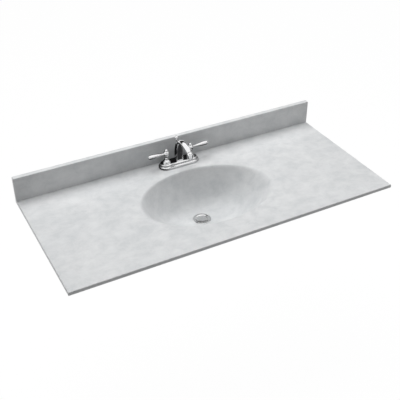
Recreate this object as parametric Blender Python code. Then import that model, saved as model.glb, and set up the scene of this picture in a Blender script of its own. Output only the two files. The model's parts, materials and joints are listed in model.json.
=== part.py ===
"""Vanity sink top with an integral bowl, a backsplash, a two-handle centreset faucet and a lift-rod drain.

Metres, +Z up, +X along the top, +Y towards the wall. The origin lies on the deck's underside, over the
middle of the cabinet's rear rail. The model stands as stored: levers out, lift knob up, stopper down.
"""

import math

import bmesh
import bpy
from mathutils import Matrix, Vector

# Clearances
GAP = 0.0003
RUNNING_GAP = 0.0006
OVERRUN = 0.004

# Smoothness, in faces round a full turn
BOWL_STEPS = 44
RING_STEPS = 28
ROUND_STEPS = 18
SMALL_STEPS = 12
HOLE_STEPS = 20
HEX_STEPS = 24
EDGE_STEPS = 2
EDGE_PROFILE = 0.5
SMOOTH_ANGLE = math.radians(40)

# Cast top
TOP_LENGTH = 1.2446
TOP_DEPTH = 0.5588
DECK_THICKNESS = 0.0127
DECK_EDGE_ROUND = 0.0025
BORDER_WIDTH = 0.025
UNDERSIDE_RELIEF = 0.001
CABINET_RAIL = 0.01905

# Backsplash and its bead of adhesive
SPLASH_HEIGHT = 0.0953
SPLASH_THICKNESS = 0.01905
SPLASH_EDGE_ROUND = 0.002
BEAD_WIDTH = 0.010
BEAD_THICKNESS = 0.0009
BEAD_END_MARGIN = 0.020

# Bowl
BOWL_LENGTH = 0.516
BOWL_DEPTH = 0.140
BOWL_WALL = 0.010
BOWL_FRONT_LAND = 0.092
BOWL_REAR_LAND = 0.1148
DRAIN_BEHIND_MIDDLE = 0.040
BOWL_RINGS = 11
RING_CROWDING_POWER = 1.35
BOWL_FLOOR_POWER = 4.4
BOWL_RIM_POWER = 2.0
FLOOR_FALL_SHARE = 0.08
RIM_LIFT = 0.0005
RECESS_RADIUS = 0.0335
RECESS_DEPTH = 0.0055
DRAIN_HOLE_RADIUS = 0.02225
BOSS_RADIUS = 0.038
BOSS_WALL = 0.010

# Faucet place and its holes
FAUCET_FROM_BACK = 0.0588
HANDLE_SPACING = 0.1016
DECK_HOLE_RADIUS = 0.01905

# Faucet gasket and base plate
GASKET_LENGTH = 0.156
GASKET_WIDTH = 0.048
GASKET_THICKNESS = 0.0016
PLATE_LENGTH = 0.164
PLATE_WIDTH = 0.054
PLATE_HEIGHT = 0.016
PLATE_STEP_IN = 0.0065
PLATE_WALL = 0.0026
PLATE_ROOF = 0.0022

# Waterway casting
SHANK_RADIUS = 0.0103
SHANK_BELOW_DECK = 0.050
SHANK_BORE_RADIUS = 0.0055
BARREL_RADIUS = 0.0110
BARREL_RISE = 0.0015
CROSSBAR_WIDTH = 0.012
CENTRE_BOSS_RADIUS = 0.0078
CENTRE_BOSS_RISE = 0.005
CROSS_BORE_RADIUS = 0.0032

# Valve cartridge and its stem
CARTRIDGE_RADIUS = 0.0076
CARTRIDGE_DEPTH = 0.020
CARTRIDGE_RISE = 0.0045
CARTRIDGE_COLLAR = 0.0022
STEM_RADIUS = 0.0030
STEM_IN_CARTRIDGE = 0.012
STEM_SCREW_RADIUS = 0.0015
STEM_SCREW_DEPTH = 0.008

# Bell bonnet
BELL_RADIUS = 0.0155
BELL_HEIGHT = 0.017
BELL_TOP_RADIUS = 0.0068
BELL_WALL = 0.0036
BELL_SHARES = ((1.0, 0.0), (1.0, 0.08), (0.93, 0.14), (0.95, 0.24), (0.87, 0.46), (0.64, 0.68), (0.48, 0.86))

# Handle hub, screw and finial
HUB_NECK_RADIUS = 0.0056
HUB_FOOT_RADIUS = 0.0070
HUB_BALL_RADIUS = 0.0115
HUB_BALL_HEIGHT = 0.022
HUB_SOCKET_DEPTH = 0.0125
HUB_WEB = 0.003
HUB_WELL_RADIUS = 0.0044
SCREW_HEAD_RADIUS = 0.0038
SCREW_HEAD_HEIGHT = 0.0024
FINIAL_RADIUS = 0.0067
FINIAL_HEIGHT = 0.009
FINIAL_SPIGOT = 0.006

# Lever
LEVER_REACH = 0.076
LEVER_SPIGOT_RADIUS = 0.0030
LEVER_SPIGOT_DEPTH = 0.0045
LEVER_COLLAR_RADIUS = 0.0048
LEVER_THIN_RADIUS = 0.0034
LEVER_BULB_RADIUS = 0.0086
LEVER_SHARES = (
    (0.21, 0.0),
    (0.29, 0.14),
    (0.42, 0.46),
    (0.56, 0.76),
    (0.70, 0.94),
    (0.83, 1.0),
    (0.92, 0.86),
    (0.975, 0.46),
)
LEVER_RISE = math.radians(1.5)

# Spout column and arm
COLUMN_WIDTH = 0.027
COLUMN_HEIGHT = 0.078
COLUMN_FRONT = 0.013
COLUMN_BACK = 0.0065
COLUMN_EDGE = 0.0012
COLUMN_SPRING_SHARE = 0.42
PANEL_BORDER = 0.0028
PANEL_DEPTH = 0.0012
COLUMN_BORE_RADIUS = 0.0052
SPOUT_REACH = 0.104
SPOUT_CREST = 0.092
SPOUT_HALF_WIDTH = 0.0110
SPOUT_HALF_HEIGHT = 0.0075
SPOUT_BORE_SHARE = 0.55
SPOUT_PATH_SHARES = (
    (0.00, 0.60, 0.66),
    (0.03, 0.74, 0.80),
    (0.12, 0.87, 0.93),
    (0.26, 0.965, 1.0),
    (0.42, 1.0, 1.0),
    (0.58, 0.975, 0.97),
    (0.74, 0.92, 0.93),
    (0.87, 0.84, 0.82),
)
OUTLET_RADIUS = 0.0112
OUTLET_SETBACK = 0.008
OUTLET_BOTTOM = 0.060
OUTLET_BALL_HEIGHT = 0.0715
SOCKET_RADIUS = 0.0094
SOCKET_DEPTH = 0.009

# Aerator
AERATOR_LIP_RADIUS = 0.0106
AERATOR_LIP_HEIGHT = 0.0035
AERATOR_THREAD_HEIGHT = 0.0055
AERATOR_BORE_RADIUS = 0.0072
SCREEN_THICKNESS = 0.0015
SCREEN_LEDGE = 0.0012
SCREEN_HOLE_RADIUS = 0.0011
SCREEN_HOLE_CIRCLE = 0.0042
SCREEN_HOLES = 6
AERATOR_WASHER_THICKNESS = 0.0016

# Shank washers and nuts
WASHER_RADIUS = 0.0225
WASHER_THICKNESS = 0.0025
NUT_ACROSS_FLATS = 0.032
NUT_HEIGHT = 0.009

# Lift rod and knob
LIFT_ROD_RADIUS = 0.0024
LIFT_ROD_BEHIND = 0.0145
LIFT_KNOB_RADIUS = 0.0068
LIFT_KNOB_HEIGHT = 0.0160
LIFT_KNOB_RISE = 0.106
LIFT_ROD_BELOW = 0.120

# Clevis strap, its screw and the spring clip
STRAP_WIDTH = 0.0127
STRAP_THICKNESS = 0.0016
STRAP_STAND_OFF = 0.009
STRAP_EAR = 0.007
STRAP_TOP_BELOW = 0.045
STRAP_HEAD_LENGTH = 0.030
STRAP_TAIL_LENGTH = 0.034
STRAP_TAIL_ABOVE = 0.030
STRAP_HOLES = 3
STRAP_HOLE_PITCH = 0.011
STRAP_HOLE_RADIUS = 0.0033
THUMB_SHANK_RADIUS = 0.0021
THUMB_HEAD_RADIUS = 0.0075
THUMB_HEAD_HEIGHT = 0.0045
THUMB_BELOW_EAR = 0.015
CLIP_THICKNESS = 0.0008
CLIP_WIDTH = 0.010
CLIP_HALF_SPAN = 0.0052
CLIP_RISE = 0.0075
CLIP_HOLE_RADIUS = 0.0037

# Pivot rod and ball
PIVOT_ROD_RADIUS = 0.0024
PIVOT_BELOW_SEAT = 0.064
PIVOT_BEHIND_DRAIN = 0.027
PIVOT_OUTER_ARM = 0.080
PIVOT_ROD_TAIL = 0.032
PIVOT_ROD_TIP = 0.006
PIVOT_TILT = math.radians(9.1)
PIVOT_BALL_RADIUS = 0.0065
PORT_BORE_RADIUS = 0.0078
PORT_RADIUS = 0.0105
PORT_END = 0.033
PORT_MOUTH_RADIUS = 0.0056
SEAT_THICKNESS = 0.0024
SEAT_HOLE_RADIUS = 0.0046
PIVOT_NUT_RADIUS = 0.0145
PIVOT_NUT_LENGTH = 0.016
PIVOT_NUT_WALL = 0.0024
PIVOT_NUT_HOLE_RADIUS = 0.0050
PIVOT_NUT_FLUTE_SHARE = 0.93

# Drain flange, stopper and seal
FLANGE_RADIUS = 0.0318
FLANGE_LIP = 0.0009
FLANGE_THROAT_RADIUS = 0.0162
FLANGE_NECK_RADIUS = 0.0188
FLANGE_NECK_LENGTH = 0.016
FLANGE_DISH_SHARES = ((0.97, 0.35), (0.93, 1.0), (0.87, 1.0), (0.80, -0.6), (0.765, -2.4), (0.72, -3.6))
STOPPER_RADIUS = 0.0215
STOPPER_BELOW_LIP = 0.0014
STOPPER_RIM = 0.0015
STOPPER_CROWN = 0.0008
STOPPER_HUB_RADIUS = 0.0085
STOPPER_HUB_DEPTH = 0.0095
SEAL_THICKNESS = 0.0026
POST_WIDTH = 0.0115
POST_THICKNESS = 0.0036
POST_EYE_RADIUS = 0.0034

# Drain body, its gasket, washer, nut and tailpiece
BODY_RADIUS = 0.0213
BODY_BORE_RADIUS = 0.0193
BODY_WAIST_RADIUS = 0.0196
BODY_THREAD_BELOW_BOSS = 0.026
BODY_THROAT_RADIUS = 0.0164
BODY_BELOW_PIVOT = 0.026
DRAIN_GASKET_RADIUS = 0.032
DRAIN_GASKET_THICKNESS = 0.006
DRAIN_WASHER_RADIUS = 0.031
DRAIN_WASHER_THICKNESS = 0.002
LOCKNUT_ACROSS_FLATS = 0.054
LOCKNUT_HEIGHT = 0.007
TAILPIECE_RADIUS = 0.0159
TAILPIECE_WALL = 0.0014
TAILPIECE_ENTRY = 0.016
TAILPIECE_LENGTH = 0.045

# Places worked out from the sizes above
WALL_Y = CABINET_RAIL / 2
FRONT_Y = WALL_Y - TOP_DEPTH
SPLASH_FRONT_Y = WALL_Y - SPLASH_THICKNESS
DECK_TOP = DECK_THICKNESS
BOWL_WIDTH = TOP_DEPTH - BOWL_FRONT_LAND - BOWL_REAR_LAND
BOWL_Y = FRONT_Y + BOWL_FRONT_LAND + BOWL_WIDTH / 2
DRAIN_Y = BOWL_Y + DRAIN_BEHIND_MIDDLE
FAUCET_Y = WALL_Y - FAUCET_FROM_BACK
HANDLE_X = HANDLE_SPACING / 2
GASKET_TOP = DECK_TOP + GAP + GASKET_THICKNESS
PLATE_BOTTOM = GASKET_TOP + GAP
PLATE_TOP = PLATE_BOTTOM + PLATE_HEIGHT
CAVITY_TOP = PLATE_TOP - PLATE_ROOF
CROSSBAR_TOP = CAVITY_TOP - GAP
BARREL_TOP = PLATE_TOP + BARREL_RISE
BARREL_BORE_RADIUS = CARTRIDGE_RADIUS + GAP
CARTRIDGE_BOTTOM = BARREL_TOP - CARTRIDGE_DEPTH
CARTRIDGE_TOP = BARREL_TOP + CARTRIDGE_RISE
BELL_BOTTOM = PLATE_TOP + GAP
BELL_TOP = BELL_BOTTOM + BELL_HEIGHT
HUB_BOTTOM = BELL_TOP + GAP
HUB_BALL_Z = HUB_BOTTOM + HUB_BALL_HEIGHT
HUB_RIM_RADIUS = HUB_WELL_RADIUS + HUB_WEB / 2
HUB_TOP = HUB_BALL_Z + math.sqrt(HUB_BALL_RADIUS**2 - HUB_RIM_RADIUS**2)
HUB_SOCKET_RADIUS = STEM_RADIUS + GAP
WEB_TOP = HUB_BOTTOM + HUB_SOCKET_DEPTH + HUB_WEB
STEM_TOP = HUB_BOTTOM + HUB_SOCKET_DEPTH - GAP
STEM_BOTTOM = CARTRIDGE_TOP - STEM_IN_CARTRIDGE
SPOUT_BOTTOM = PLATE_TOP + GAP
MOUTH_Z = SPOUT_BOTTOM + OUTLET_BOTTOM
OUTLET_Y = FAUCET_Y - SPOUT_REACH + OUTLET_SETBACK
LIFT_Y = FAUCET_Y + LIFT_ROD_BEHIND
LIFT_KNOB_Z = DECK_TOP + LIFT_KNOB_RISE
FLOOR_Z = DECK_TOP - BOWL_DEPTH
SEAT_Z = FLOOR_Z - RECESS_DEPTH
BOSS_BOTTOM = SEAT_Z - BOSS_WALL
FLANGE_BOTTOM = SEAT_Z + GAP
FLANGE_TOP = FLOOR_Z + FLANGE_LIP
NECK_BOTTOM = SEAT_Z - FLANGE_NECK_LENGTH
BODY_TOP = SEAT_Z - RUNNING_GAP
BODY_THREAD_BOTTOM = BOSS_BOTTOM - BODY_THREAD_BELOW_BOSS
PIVOT_Z = SEAT_Z - PIVOT_BELOW_SEAT
PIVOT_Y = DRAIN_Y + PIVOT_BEHIND_DRAIN
BODY_BOTTOM = PIVOT_Z - BODY_BELOW_PIVOT
EYE_Z = PIVOT_Z - PIVOT_BEHIND_DRAIN * math.sin(PIVOT_TILT)
STRAP_Y = PIVOT_Y + PIVOT_OUTER_ARM * math.cos(PIVOT_TILT)
STRAP_HOLE_Z = PIVOT_Z + PIVOT_OUTER_ARM * math.sin(PIVOT_TILT)
STOPPER_TOP = FLANGE_TOP - STOPPER_BELOW_LIP
SEAL_RADIUS = FLANGE_THROAT_RADIUS - RUNNING_GAP

ALONG_X = Matrix.Rotation(math.radians(90), 4, "Y")
ALONG_Y = Matrix.Rotation(math.radians(-90), 4, "X")

FINISHES = {
    "cast_stone": ((0.66, 0.68, 0.69), 0.3, 0.0),
    "chrome": ((0.86, 0.87, 0.88), 0.08, 1.0),
    "brass": ((0.72, 0.55, 0.27), 0.35, 1.0),
    "steel": ((0.55, 0.56, 0.57), 0.4, 1.0),
    "black_rubber": ((0.03, 0.03, 0.03), 0.8, 0.0),
    "white_plastic": ((0.80, 0.80, 0.78), 0.45, 0.0),
    "clear_silicone": ((0.70, 0.71, 0.71), 0.5, 0.0),
}


def finish(name):
    """The material of that name, made when it is first asked for."""
    if name in bpy.data.materials:
        return bpy.data.materials[name]
    colour, roughness, metallic = FINISHES[name]
    material = bpy.data.materials.new(name)
    material.use_nodes = True
    shader = material.node_tree.nodes["Principled BSDF"]
    shader.inputs["Base Color"].default_value = (*colour, 1)
    shader.inputs["Roughness"].default_value = roughness
    shader.inputs["Metallic"].default_value = metallic
    return material


def lerp(start, end, share):
    return start + (end - start) * share


def circle(radius, z, steps, centre=(0, 0)):
    """Points round a level circle."""
    turns = [2 * math.pi * i / steps for i in range(steps)]
    return [(centre[0] + radius * math.cos(t), centre[1] + radius * math.sin(t), z) for t in turns]


def hexagon(across_flats, z, steps):
    """Points round a level hexagon, as many as a circle of the same steps has."""
    sector = math.pi / 3
    points = []
    for i in range(steps):
        turn = 2 * math.pi * i / steps
        off = (turn % sector) - sector / 2
        radius = across_flats / 2 / math.cos(off)
        points.append((radius * math.cos(turn), radius * math.sin(turn), z))
    return points


def bar_ring(length, width, z, steps):
    """Points round a level bar with round ends, its length along X and its middle at the faucet."""
    radius = width / 2
    reach = length / 2 - radius
    points = []
    for side in (1, -1):
        for i in range(steps + 1):
            turn = math.pi * (i / steps - 0.5)
            x = side * (reach + radius * math.cos(turn))
            points.append((x, FAUCET_Y + side * radius * math.sin(turn), z))
    return points


def facing_out(mesh):
    bmesh.ops.recalc_face_normals(mesh, faces=mesh.faces)
    return mesh


def lofted(rings, ring_shaped=False):
    """A closed mesh through rings of as many points each, capped, or joined end to start when ring_shaped."""
    mesh = bmesh.new()
    loops = [[mesh.verts.new(point) for point in ring] for ring in rings]
    pairs = list(zip(loops, loops[1:]))
    if ring_shaped:
        pairs.append((loops[-1], loops[0]))
    else:
        mesh.faces.new(loops[0])
        mesh.faces.new(loops[-1])
    for low, high in pairs:
        for i, corner in enumerate(low):
            after = (i + 1) % len(low)
            mesh.faces.new((corner, low[after], high[after], high[i]))
    return facing_out(mesh)


def turned(outline, steps, place=None):
    """A mesh turned about Z from (radius, height) points, open on the axis only where a radius is zero."""
    mesh = bmesh.new()
    loops = []
    for radius, z in outline:
        if radius > 0:
            loops.append([mesh.verts.new(point) for point in circle(radius, z, steps)])
        else:
            loops.append([mesh.verts.new((0, 0, z))])
    pairs = list(zip(loops, loops[1:]))
    if len(loops[0]) > 1:
        pairs.append((loops[-1], loops[0]))
    for one, other in pairs:
        for i in range(steps):
            after = (i + 1) % steps
            corners = [one[i % len(one)], one[after % len(one)]]
            corners += [other[after % len(other)], other[i % len(other)]]
            mesh.faces.new(list(dict.fromkeys(corners)))
    if place is not None:
        bmesh.ops.transform(mesh, matrix=place, verts=mesh.verts)
    return facing_out(mesh)


def rod(radius, start, end, steps, place=None):
    """A plain round bar between two heights."""
    return turned([(0, start), (radius, start), (radius, end), (0, end)], steps, place)


def block(low, high):
    """A box between two corners."""
    mesh = bmesh.new()
    bmesh.ops.create_cube(mesh, size=1)
    for vert in mesh.verts:
        vert.co = Vector(high[i] if vert.co[i] > 0 else low[i] for i in range(3))
    return mesh


def sheet(route, thickness, width, x=0.0):
    """A bent strip of even thickness: its middle line in Y and Z, its width along X."""
    line = [Vector(point) for point in route]
    sides = ([], [])
    for i, point in enumerate(line):
        before = (point - line[i - 1]).normalized() if i else None
        after = (line[i + 1] - point).normalized() if i + 1 < len(line) else None
        along = ((before or after) + (after or before)).normalized()
        across = Vector((-along.y, along.x))
        stretch = 1 / max(along.dot(after or before), 0.5)
        for side, sign in zip(sides, (1, -1)):
            side.append(point + across * sign * thickness / 2 * stretch)
    outline = sides[0] + sides[1][::-1]
    return lofted([[(x + offset, p.x, p.y) for p in outline] for offset in (-width / 2, width / 2)])


def at(x=0.0, y=0.0, z=0.0):
    return Matrix.Translation((x, y, z))


def axis_empty(name, place):
    """An empty on a joint's axis, which carries the pieces that move with it."""
    empty = bpy.data.objects.new(name, None)
    empty.location = place
    bpy.context.scene.collection.objects.link(empty)
    return empty


def piece(name, mesh, finish_name, carrier=None):
    """A named object from a mesh in world places, with its origin on its carrier's axis."""
    origin = carrier.location.copy() if carrier else Vector((0, 0, 0))
    bmesh.ops.translate(mesh, verts=mesh.verts, vec=-origin)
    data = bpy.data.meshes.new(name)
    mesh.to_mesh(data)
    mesh.free()
    data.materials.append(finish(finish_name))
    data.shade_smooth()
    data.set_sharp_from_angle(angle=SMOOTH_ANGLE)
    made = bpy.data.objects.new(name, data)
    bpy.context.scene.collection.objects.link(made)
    if carrier:
        made.parent = carrier
    return made


def combine(target, meshes, operation):
    """Adds or takes away helper meshes, in world places, by one Boolean modifier."""
    count = len(target.modifiers)
    data = bpy.data.meshes.new(f"{target.name}_helper_{count}")
    joined = bmesh.new()
    for mesh in meshes:
        mesh.to_mesh(data)
        mesh.free()
        joined.from_mesh(data)
    joined.to_mesh(data)
    joined.free()
    helper = bpy.data.objects.new(data.name, data)
    helper.hide_render = True
    helper.display_type = "WIRE"
    bpy.context.scene.collection.objects.link(helper)
    modifier = target.modifiers.new(helper.name, "BOOLEAN")
    modifier.operation = operation
    modifier.object = helper
    modifier.use_self = len(meshes) > 1


def cut(target, *meshes):
    combine(target, meshes, "DIFFERENCE")


def fuse(target, *meshes):
    combine(target, meshes, "UNION")


# Cast top and backsplash


def bowl_depth_share(u):
    """How deep the bowl is at u, 0 at the drain recess and 1 at the rim, as a share of its depth."""
    soft = (1 - u**BOWL_FLOOR_POWER) ** BOWL_RIM_POWER
    return lerp(soft, 1 - u, FLOOR_FALL_SHARE)


def bowl_slope(u):
    """Fall of the bowl's surface at u for each unit of length."""
    soft = BOWL_RIM_POWER * BOWL_FLOOR_POWER * u ** (BOWL_FLOOR_POWER - 1)
    soft *= (1 - u**BOWL_FLOOR_POWER) ** (BOWL_RIM_POWER - 1)
    run = (BOWL_LENGTH + BOWL_WIDTH) / 4 - RECESS_RADIUS
    return BOWL_DEPTH * lerp(soft, 1, FLOOR_FALL_SHARE) / run


def bowl_ring(u, wall=0.0):
    """Ring of the bowl's surface at u, moved out through the casting by wall."""
    angle = math.atan(bowl_slope(u))
    out = wall * math.sin(angle)
    half_x = lerp(RECESS_RADIUS, BOWL_LENGTH / 2, u) + out
    half_y = lerp(RECESS_RADIUS, BOWL_WIDTH / 2, u) + out
    y = lerp(DRAIN_Y, BOWL_Y, u)
    z = DECK_TOP - BOWL_DEPTH * bowl_depth_share(u) - wall * math.cos(angle)
    turns = [2 * math.pi * i / BOWL_STEPS for i in range(BOWL_STEPS)]
    return [(half_x * math.cos(t), y + half_y * math.sin(t), z) for t in turns]


def raised(ring, by):
    return [(x, y, z + by) for x, y, z in ring]


def ring_places():
    """Values of u from the rim to the drain, closer together at the rim."""
    return [1 - (i / BOWL_RINGS) ** RING_CROWDING_POWER for i in range(BOWL_RINGS + 1)]


def drain_circle(radius, z):
    return circle(radius, z, BOWL_STEPS, (0, DRAIN_Y))


def round_edges(mesh, chosen, width):
    edges = [edge for edge in mesh.edges if chosen(edge)]
    shape = {"segments": EDGE_STEPS, "profile": EDGE_PROFILE, "affect": "EDGES"}
    bmesh.ops.bevel(mesh, geom=edges, offset=width, **shape)
    return mesh


def is_upright(edge):
    low, high = (vert.co for vert in edge.verts)
    return abs(low.z - high.z) > abs(low.x - high.x) + abs(low.y - high.y)


def make_sink_top():
    low = (-TOP_LENGTH / 2, FRONT_Y, 0)
    high = (TOP_LENGTH / 2, WALL_Y, DECK_TOP)
    slab = block(low, high)
    middle = DECK_TOP / 2

    def outer_edge(edge):
        at_back = all(vert.co.y > BOWL_Y for vert in edge.verts)
        on_top = all(vert.co.z > middle for vert in edge.verts)
        return (on_top or is_upright(edge)) and not at_back

    top = piece("sink_top", round_edges(slab, outer_edge, DECK_EDGE_ROUND), "cast_stone")
    relief_low = (BORDER_WIDTH - TOP_LENGTH / 2, FRONT_Y + BORDER_WIDTH, -OVERRUN)
    relief_high = (TOP_LENGTH / 2 - BORDER_WIDTH, WALL_Y - BORDER_WIDTH, UNDERSIDE_RELIEF)
    cut(top, block(relief_low, relief_high))
    shell = [bowl_ring(u, BOWL_WALL) for u in ring_places()[:-1]]
    under = FLOOR_Z - BOWL_WALL
    shell.append(drain_circle(BOSS_RADIUS, under))
    shell.append(drain_circle(BOSS_RADIUS, BOSS_BOTTOM))
    fuse(top, lofted(shell))
    rim = bowl_ring(1.0)
    hollow = [raised(rim, OVERRUN)]
    hollow += [raised(bowl_ring(u), RIM_LIFT * u) for u in ring_places()]
    hollow.append(drain_circle(RECESS_RADIUS, SEAT_Z))
    hollow.append(drain_circle(DRAIN_HOLE_RADIUS, SEAT_Z))
    hollow.append(drain_circle(DRAIN_HOLE_RADIUS, BOSS_BOTTOM - OVERRUN))
    cut(top, lofted(hollow))
    for x in (-HANDLE_X, 0, HANDLE_X):
        cut(top, rod(DECK_HOLE_RADIUS, -OVERRUN, DECK_TOP + OVERRUN, HOLE_STEPS, at(x, FAUCET_Y)))


def make_backsplash():
    bottom = DECK_TOP + GAP
    top = DECK_TOP + SPLASH_HEIGHT
    half = TOP_LENGTH / 2
    slab = block((-half, SPLASH_FRONT_Y, bottom), (half, WALL_Y, top))
    middle = (bottom + top) / 2

    def outer_edge(edge):
        return is_upright(edge) or all(vert.co.z > middle for vert in edge.verts)

    splash = piece("backsplash", round_edges(slab, outer_edge, SPLASH_EDGE_ROUND), "cast_stone")
    centre_y = (SPLASH_FRONT_Y + WALL_Y) / 2
    bead_half = half - BEAD_END_MARGIN
    bead_y = (centre_y - BEAD_WIDTH / 2, centre_y + BEAD_WIDTH / 2)
    bead_top = bottom + BEAD_THICKNESS
    groove_low = (-bead_half - GAP, bead_y[0] - GAP, bottom - OVERRUN)
    groove_high = (bead_half + GAP, bead_y[1] + GAP, bead_top + GAP)
    cut(splash, block(groove_low, groove_high))
    bead = block((-bead_half, bead_y[0], bottom), (bead_half, bead_y[1], bead_top))
    piece("backsplash_adhesive", bead, "clear_silicone")


# Faucet


def plate_ring(inset, z):
    return bar_ring(PLATE_LENGTH - 2 * inset, PLATE_WIDTH - 2 * inset, z, SMALL_STEPS)


def make_gasket():
    rings = [bar_ring(GASKET_LENGTH, GASKET_WIDTH, z, SMALL_STEPS) for z in (DECK_TOP + GAP, GASKET_TOP)]
    gasket = piece("faucet_gasket", lofted(rings), "black_rubber")
    for x in (-HANDLE_X, 0, HANDLE_X):
        radius = SHANK_RADIUS + RUNNING_GAP if x else DECK_HOLE_RADIUS
        cut(gasket, rod(radius, DECK_TOP - OVERRUN, GASKET_TOP + OVERRUN, HOLE_STEPS, at(x, FAUCET_Y)))


PLATE_OUTLINE_SHARES = (
    (0.0, 0.0),
    (0.0, 0.30),
    (0.16, 0.41),
    (0.62, 0.45),
    (0.80, 0.52),
    (0.86, 0.80),
    (1.0, 0.93),
    (1.32, 1.0),
)


def make_base_plate():
    rings = []
    for inset, rise in PLATE_OUTLINE_SHARES:
        rings.append(plate_ring(PLATE_STEP_IN * inset, PLATE_BOTTOM + PLATE_HEIGHT * rise))
    plate = piece("base_plate", lofted(rings), "chrome")
    shoulder = PLATE_BOTTOM + PLATE_HEIGHT * PLATE_OUTLINE_SHARES[1][1] - PLATE_WALL / 2
    hollow = [
        plate_ring(PLATE_WALL, PLATE_BOTTOM - OVERRUN),
        plate_ring(PLATE_WALL, shoulder),
        plate_ring(PLATE_STEP_IN + PLATE_WALL, shoulder),
        plate_ring(PLATE_STEP_IN + PLATE_WALL, CAVITY_TOP),
    ]
    cut(plate, lofted(hollow))
    low, high = CAVITY_TOP - OVERRUN, PLATE_TOP + OVERRUN
    for x in (-HANDLE_X, HANDLE_X):
        cut(plate, rod(BARREL_RADIUS + GAP, low, high, ROUND_STEPS, at(x, FAUCET_Y)))
    cut(plate, rod(CENTRE_BOSS_RADIUS + GAP, low, high, ROUND_STEPS, at(0, FAUCET_Y - boss_forward())))
    cut(plate, rod(LIFT_ROD_RADIUS + RUNNING_GAP, low, high, SMALL_STEPS, at(0, LIFT_Y)))


def boss_forward():
    """How far the waterway's centre boss lies in front of the handles' line, in the middle of the column."""
    return (COLUMN_FRONT - COLUMN_BACK) / 2


def make_faucet_body():
    def barrel(x):
        outline = [
            (SHANK_RADIUS, -SHANK_BELOW_DECK),
            (SHANK_RADIUS, PLATE_BOTTOM),
            (BARREL_RADIUS, PLATE_BOTTOM + GAP),
            (BARREL_RADIUS, BARREL_TOP),
            (BARREL_BORE_RADIUS, BARREL_TOP),
            (BARREL_BORE_RADIUS, CARTRIDGE_BOTTOM - GAP),
            (SHANK_BORE_RADIUS, CARTRIDGE_BOTTOM - GAP),
            (SHANK_BORE_RADIUS, -SHANK_BELOW_DECK),
        ]
        return turned(outline, ROUND_STEPS, at(x, FAUCET_Y))

    body = piece("faucet_body", barrel(-HANDLE_X), "brass")
    fuse(body, barrel(HANDLE_X))
    wall_middle = (BARREL_RADIUS + BARREL_BORE_RADIUS) / 2
    reach = HANDLE_X - wall_middle
    y = FAUCET_Y - boss_forward()
    half = CROSSBAR_WIDTH / 2
    fuse(body, block((-reach, FAUCET_Y - half, PLATE_BOTTOM), (reach, FAUCET_Y + half, CROSSBAR_TOP)))
    boss_top = PLATE_TOP + CENTRE_BOSS_RISE
    fuse(body, rod(CENTRE_BOSS_RADIUS, PLATE_BOTTOM - GAP, boss_top, ROUND_STEPS, at(0, y)))
    bore_z = (PLATE_BOTTOM + CROSSBAR_TOP) / 2
    bore_reach = HANDLE_X - BARREL_BORE_RADIUS / 2
    place = at(0, FAUCET_Y, bore_z) @ ALONG_X
    cut(body, rod(CROSS_BORE_RADIUS, -bore_reach, bore_reach, SMALL_STEPS, place))
    cut(body, rod(COLUMN_BORE_RADIUS, bore_z, boss_top + OVERRUN, SMALL_STEPS, at(0, y)))


def make_valve(side, x):
    """The fixed cartridge in its barrel, and the bell that holds it down."""
    collar_radius = BARREL_RADIUS - GAP
    stem_bore = STEM_RADIUS + GAP
    cartridge = [
        (0, CARTRIDGE_BOTTOM),
        (CARTRIDGE_RADIUS, CARTRIDGE_BOTTOM),
        (CARTRIDGE_RADIUS, BARREL_TOP + GAP),
        (collar_radius, BARREL_TOP + GAP),
        (collar_radius, BARREL_TOP + GAP + CARTRIDGE_COLLAR),
        (CARTRIDGE_RADIUS, BARREL_TOP + GAP + CARTRIDGE_COLLAR),
        (CARTRIDGE_RADIUS, CARTRIDGE_TOP),
        (stem_bore, CARTRIDGE_TOP),
        (stem_bore, STEM_BOTTOM - GAP),
        (0, STEM_BOTTOM - GAP),
    ]
    piece(f"{side}_valve_cartridge", turned(cartridge, ROUND_STEPS, at(x, FAUCET_Y)), "white_plastic")
    outer = [(BELL_RADIUS * r, lerp(BELL_BOTTOM, BELL_TOP, h)) for r, h in BELL_SHARES]
    outer.append((BELL_TOP_RADIUS, BELL_TOP))
    inner = [
        (stem_bore, BELL_TOP),
        (stem_bore, CARTRIDGE_TOP + GAP + BELL_WALL),
        (CARTRIDGE_RADIUS + GAP, CARTRIDGE_TOP + GAP),
        (CARTRIDGE_RADIUS + GAP, BARREL_TOP + GAP + CARTRIDGE_COLLAR + GAP),
        (BARREL_RADIUS + GAP, BARREL_TOP + GAP + CARTRIDGE_COLLAR + GAP),
        (BARREL_RADIUS + GAP, BELL_BOTTOM),
    ]
    piece(f"{side}_bell", turned(outer + inner, ROUND_STEPS, at(x, FAUCET_Y)), "chrome")


def ball_points(radius, centre, start, end, count):
    """Points of a ball's outline between two angles above its middle."""
    angles = [lerp(start, end, i / (count - 1)) for i in range(count)]
    return [(radius * math.cos(a), centre + radius * math.sin(a)) for a in angles]


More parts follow.
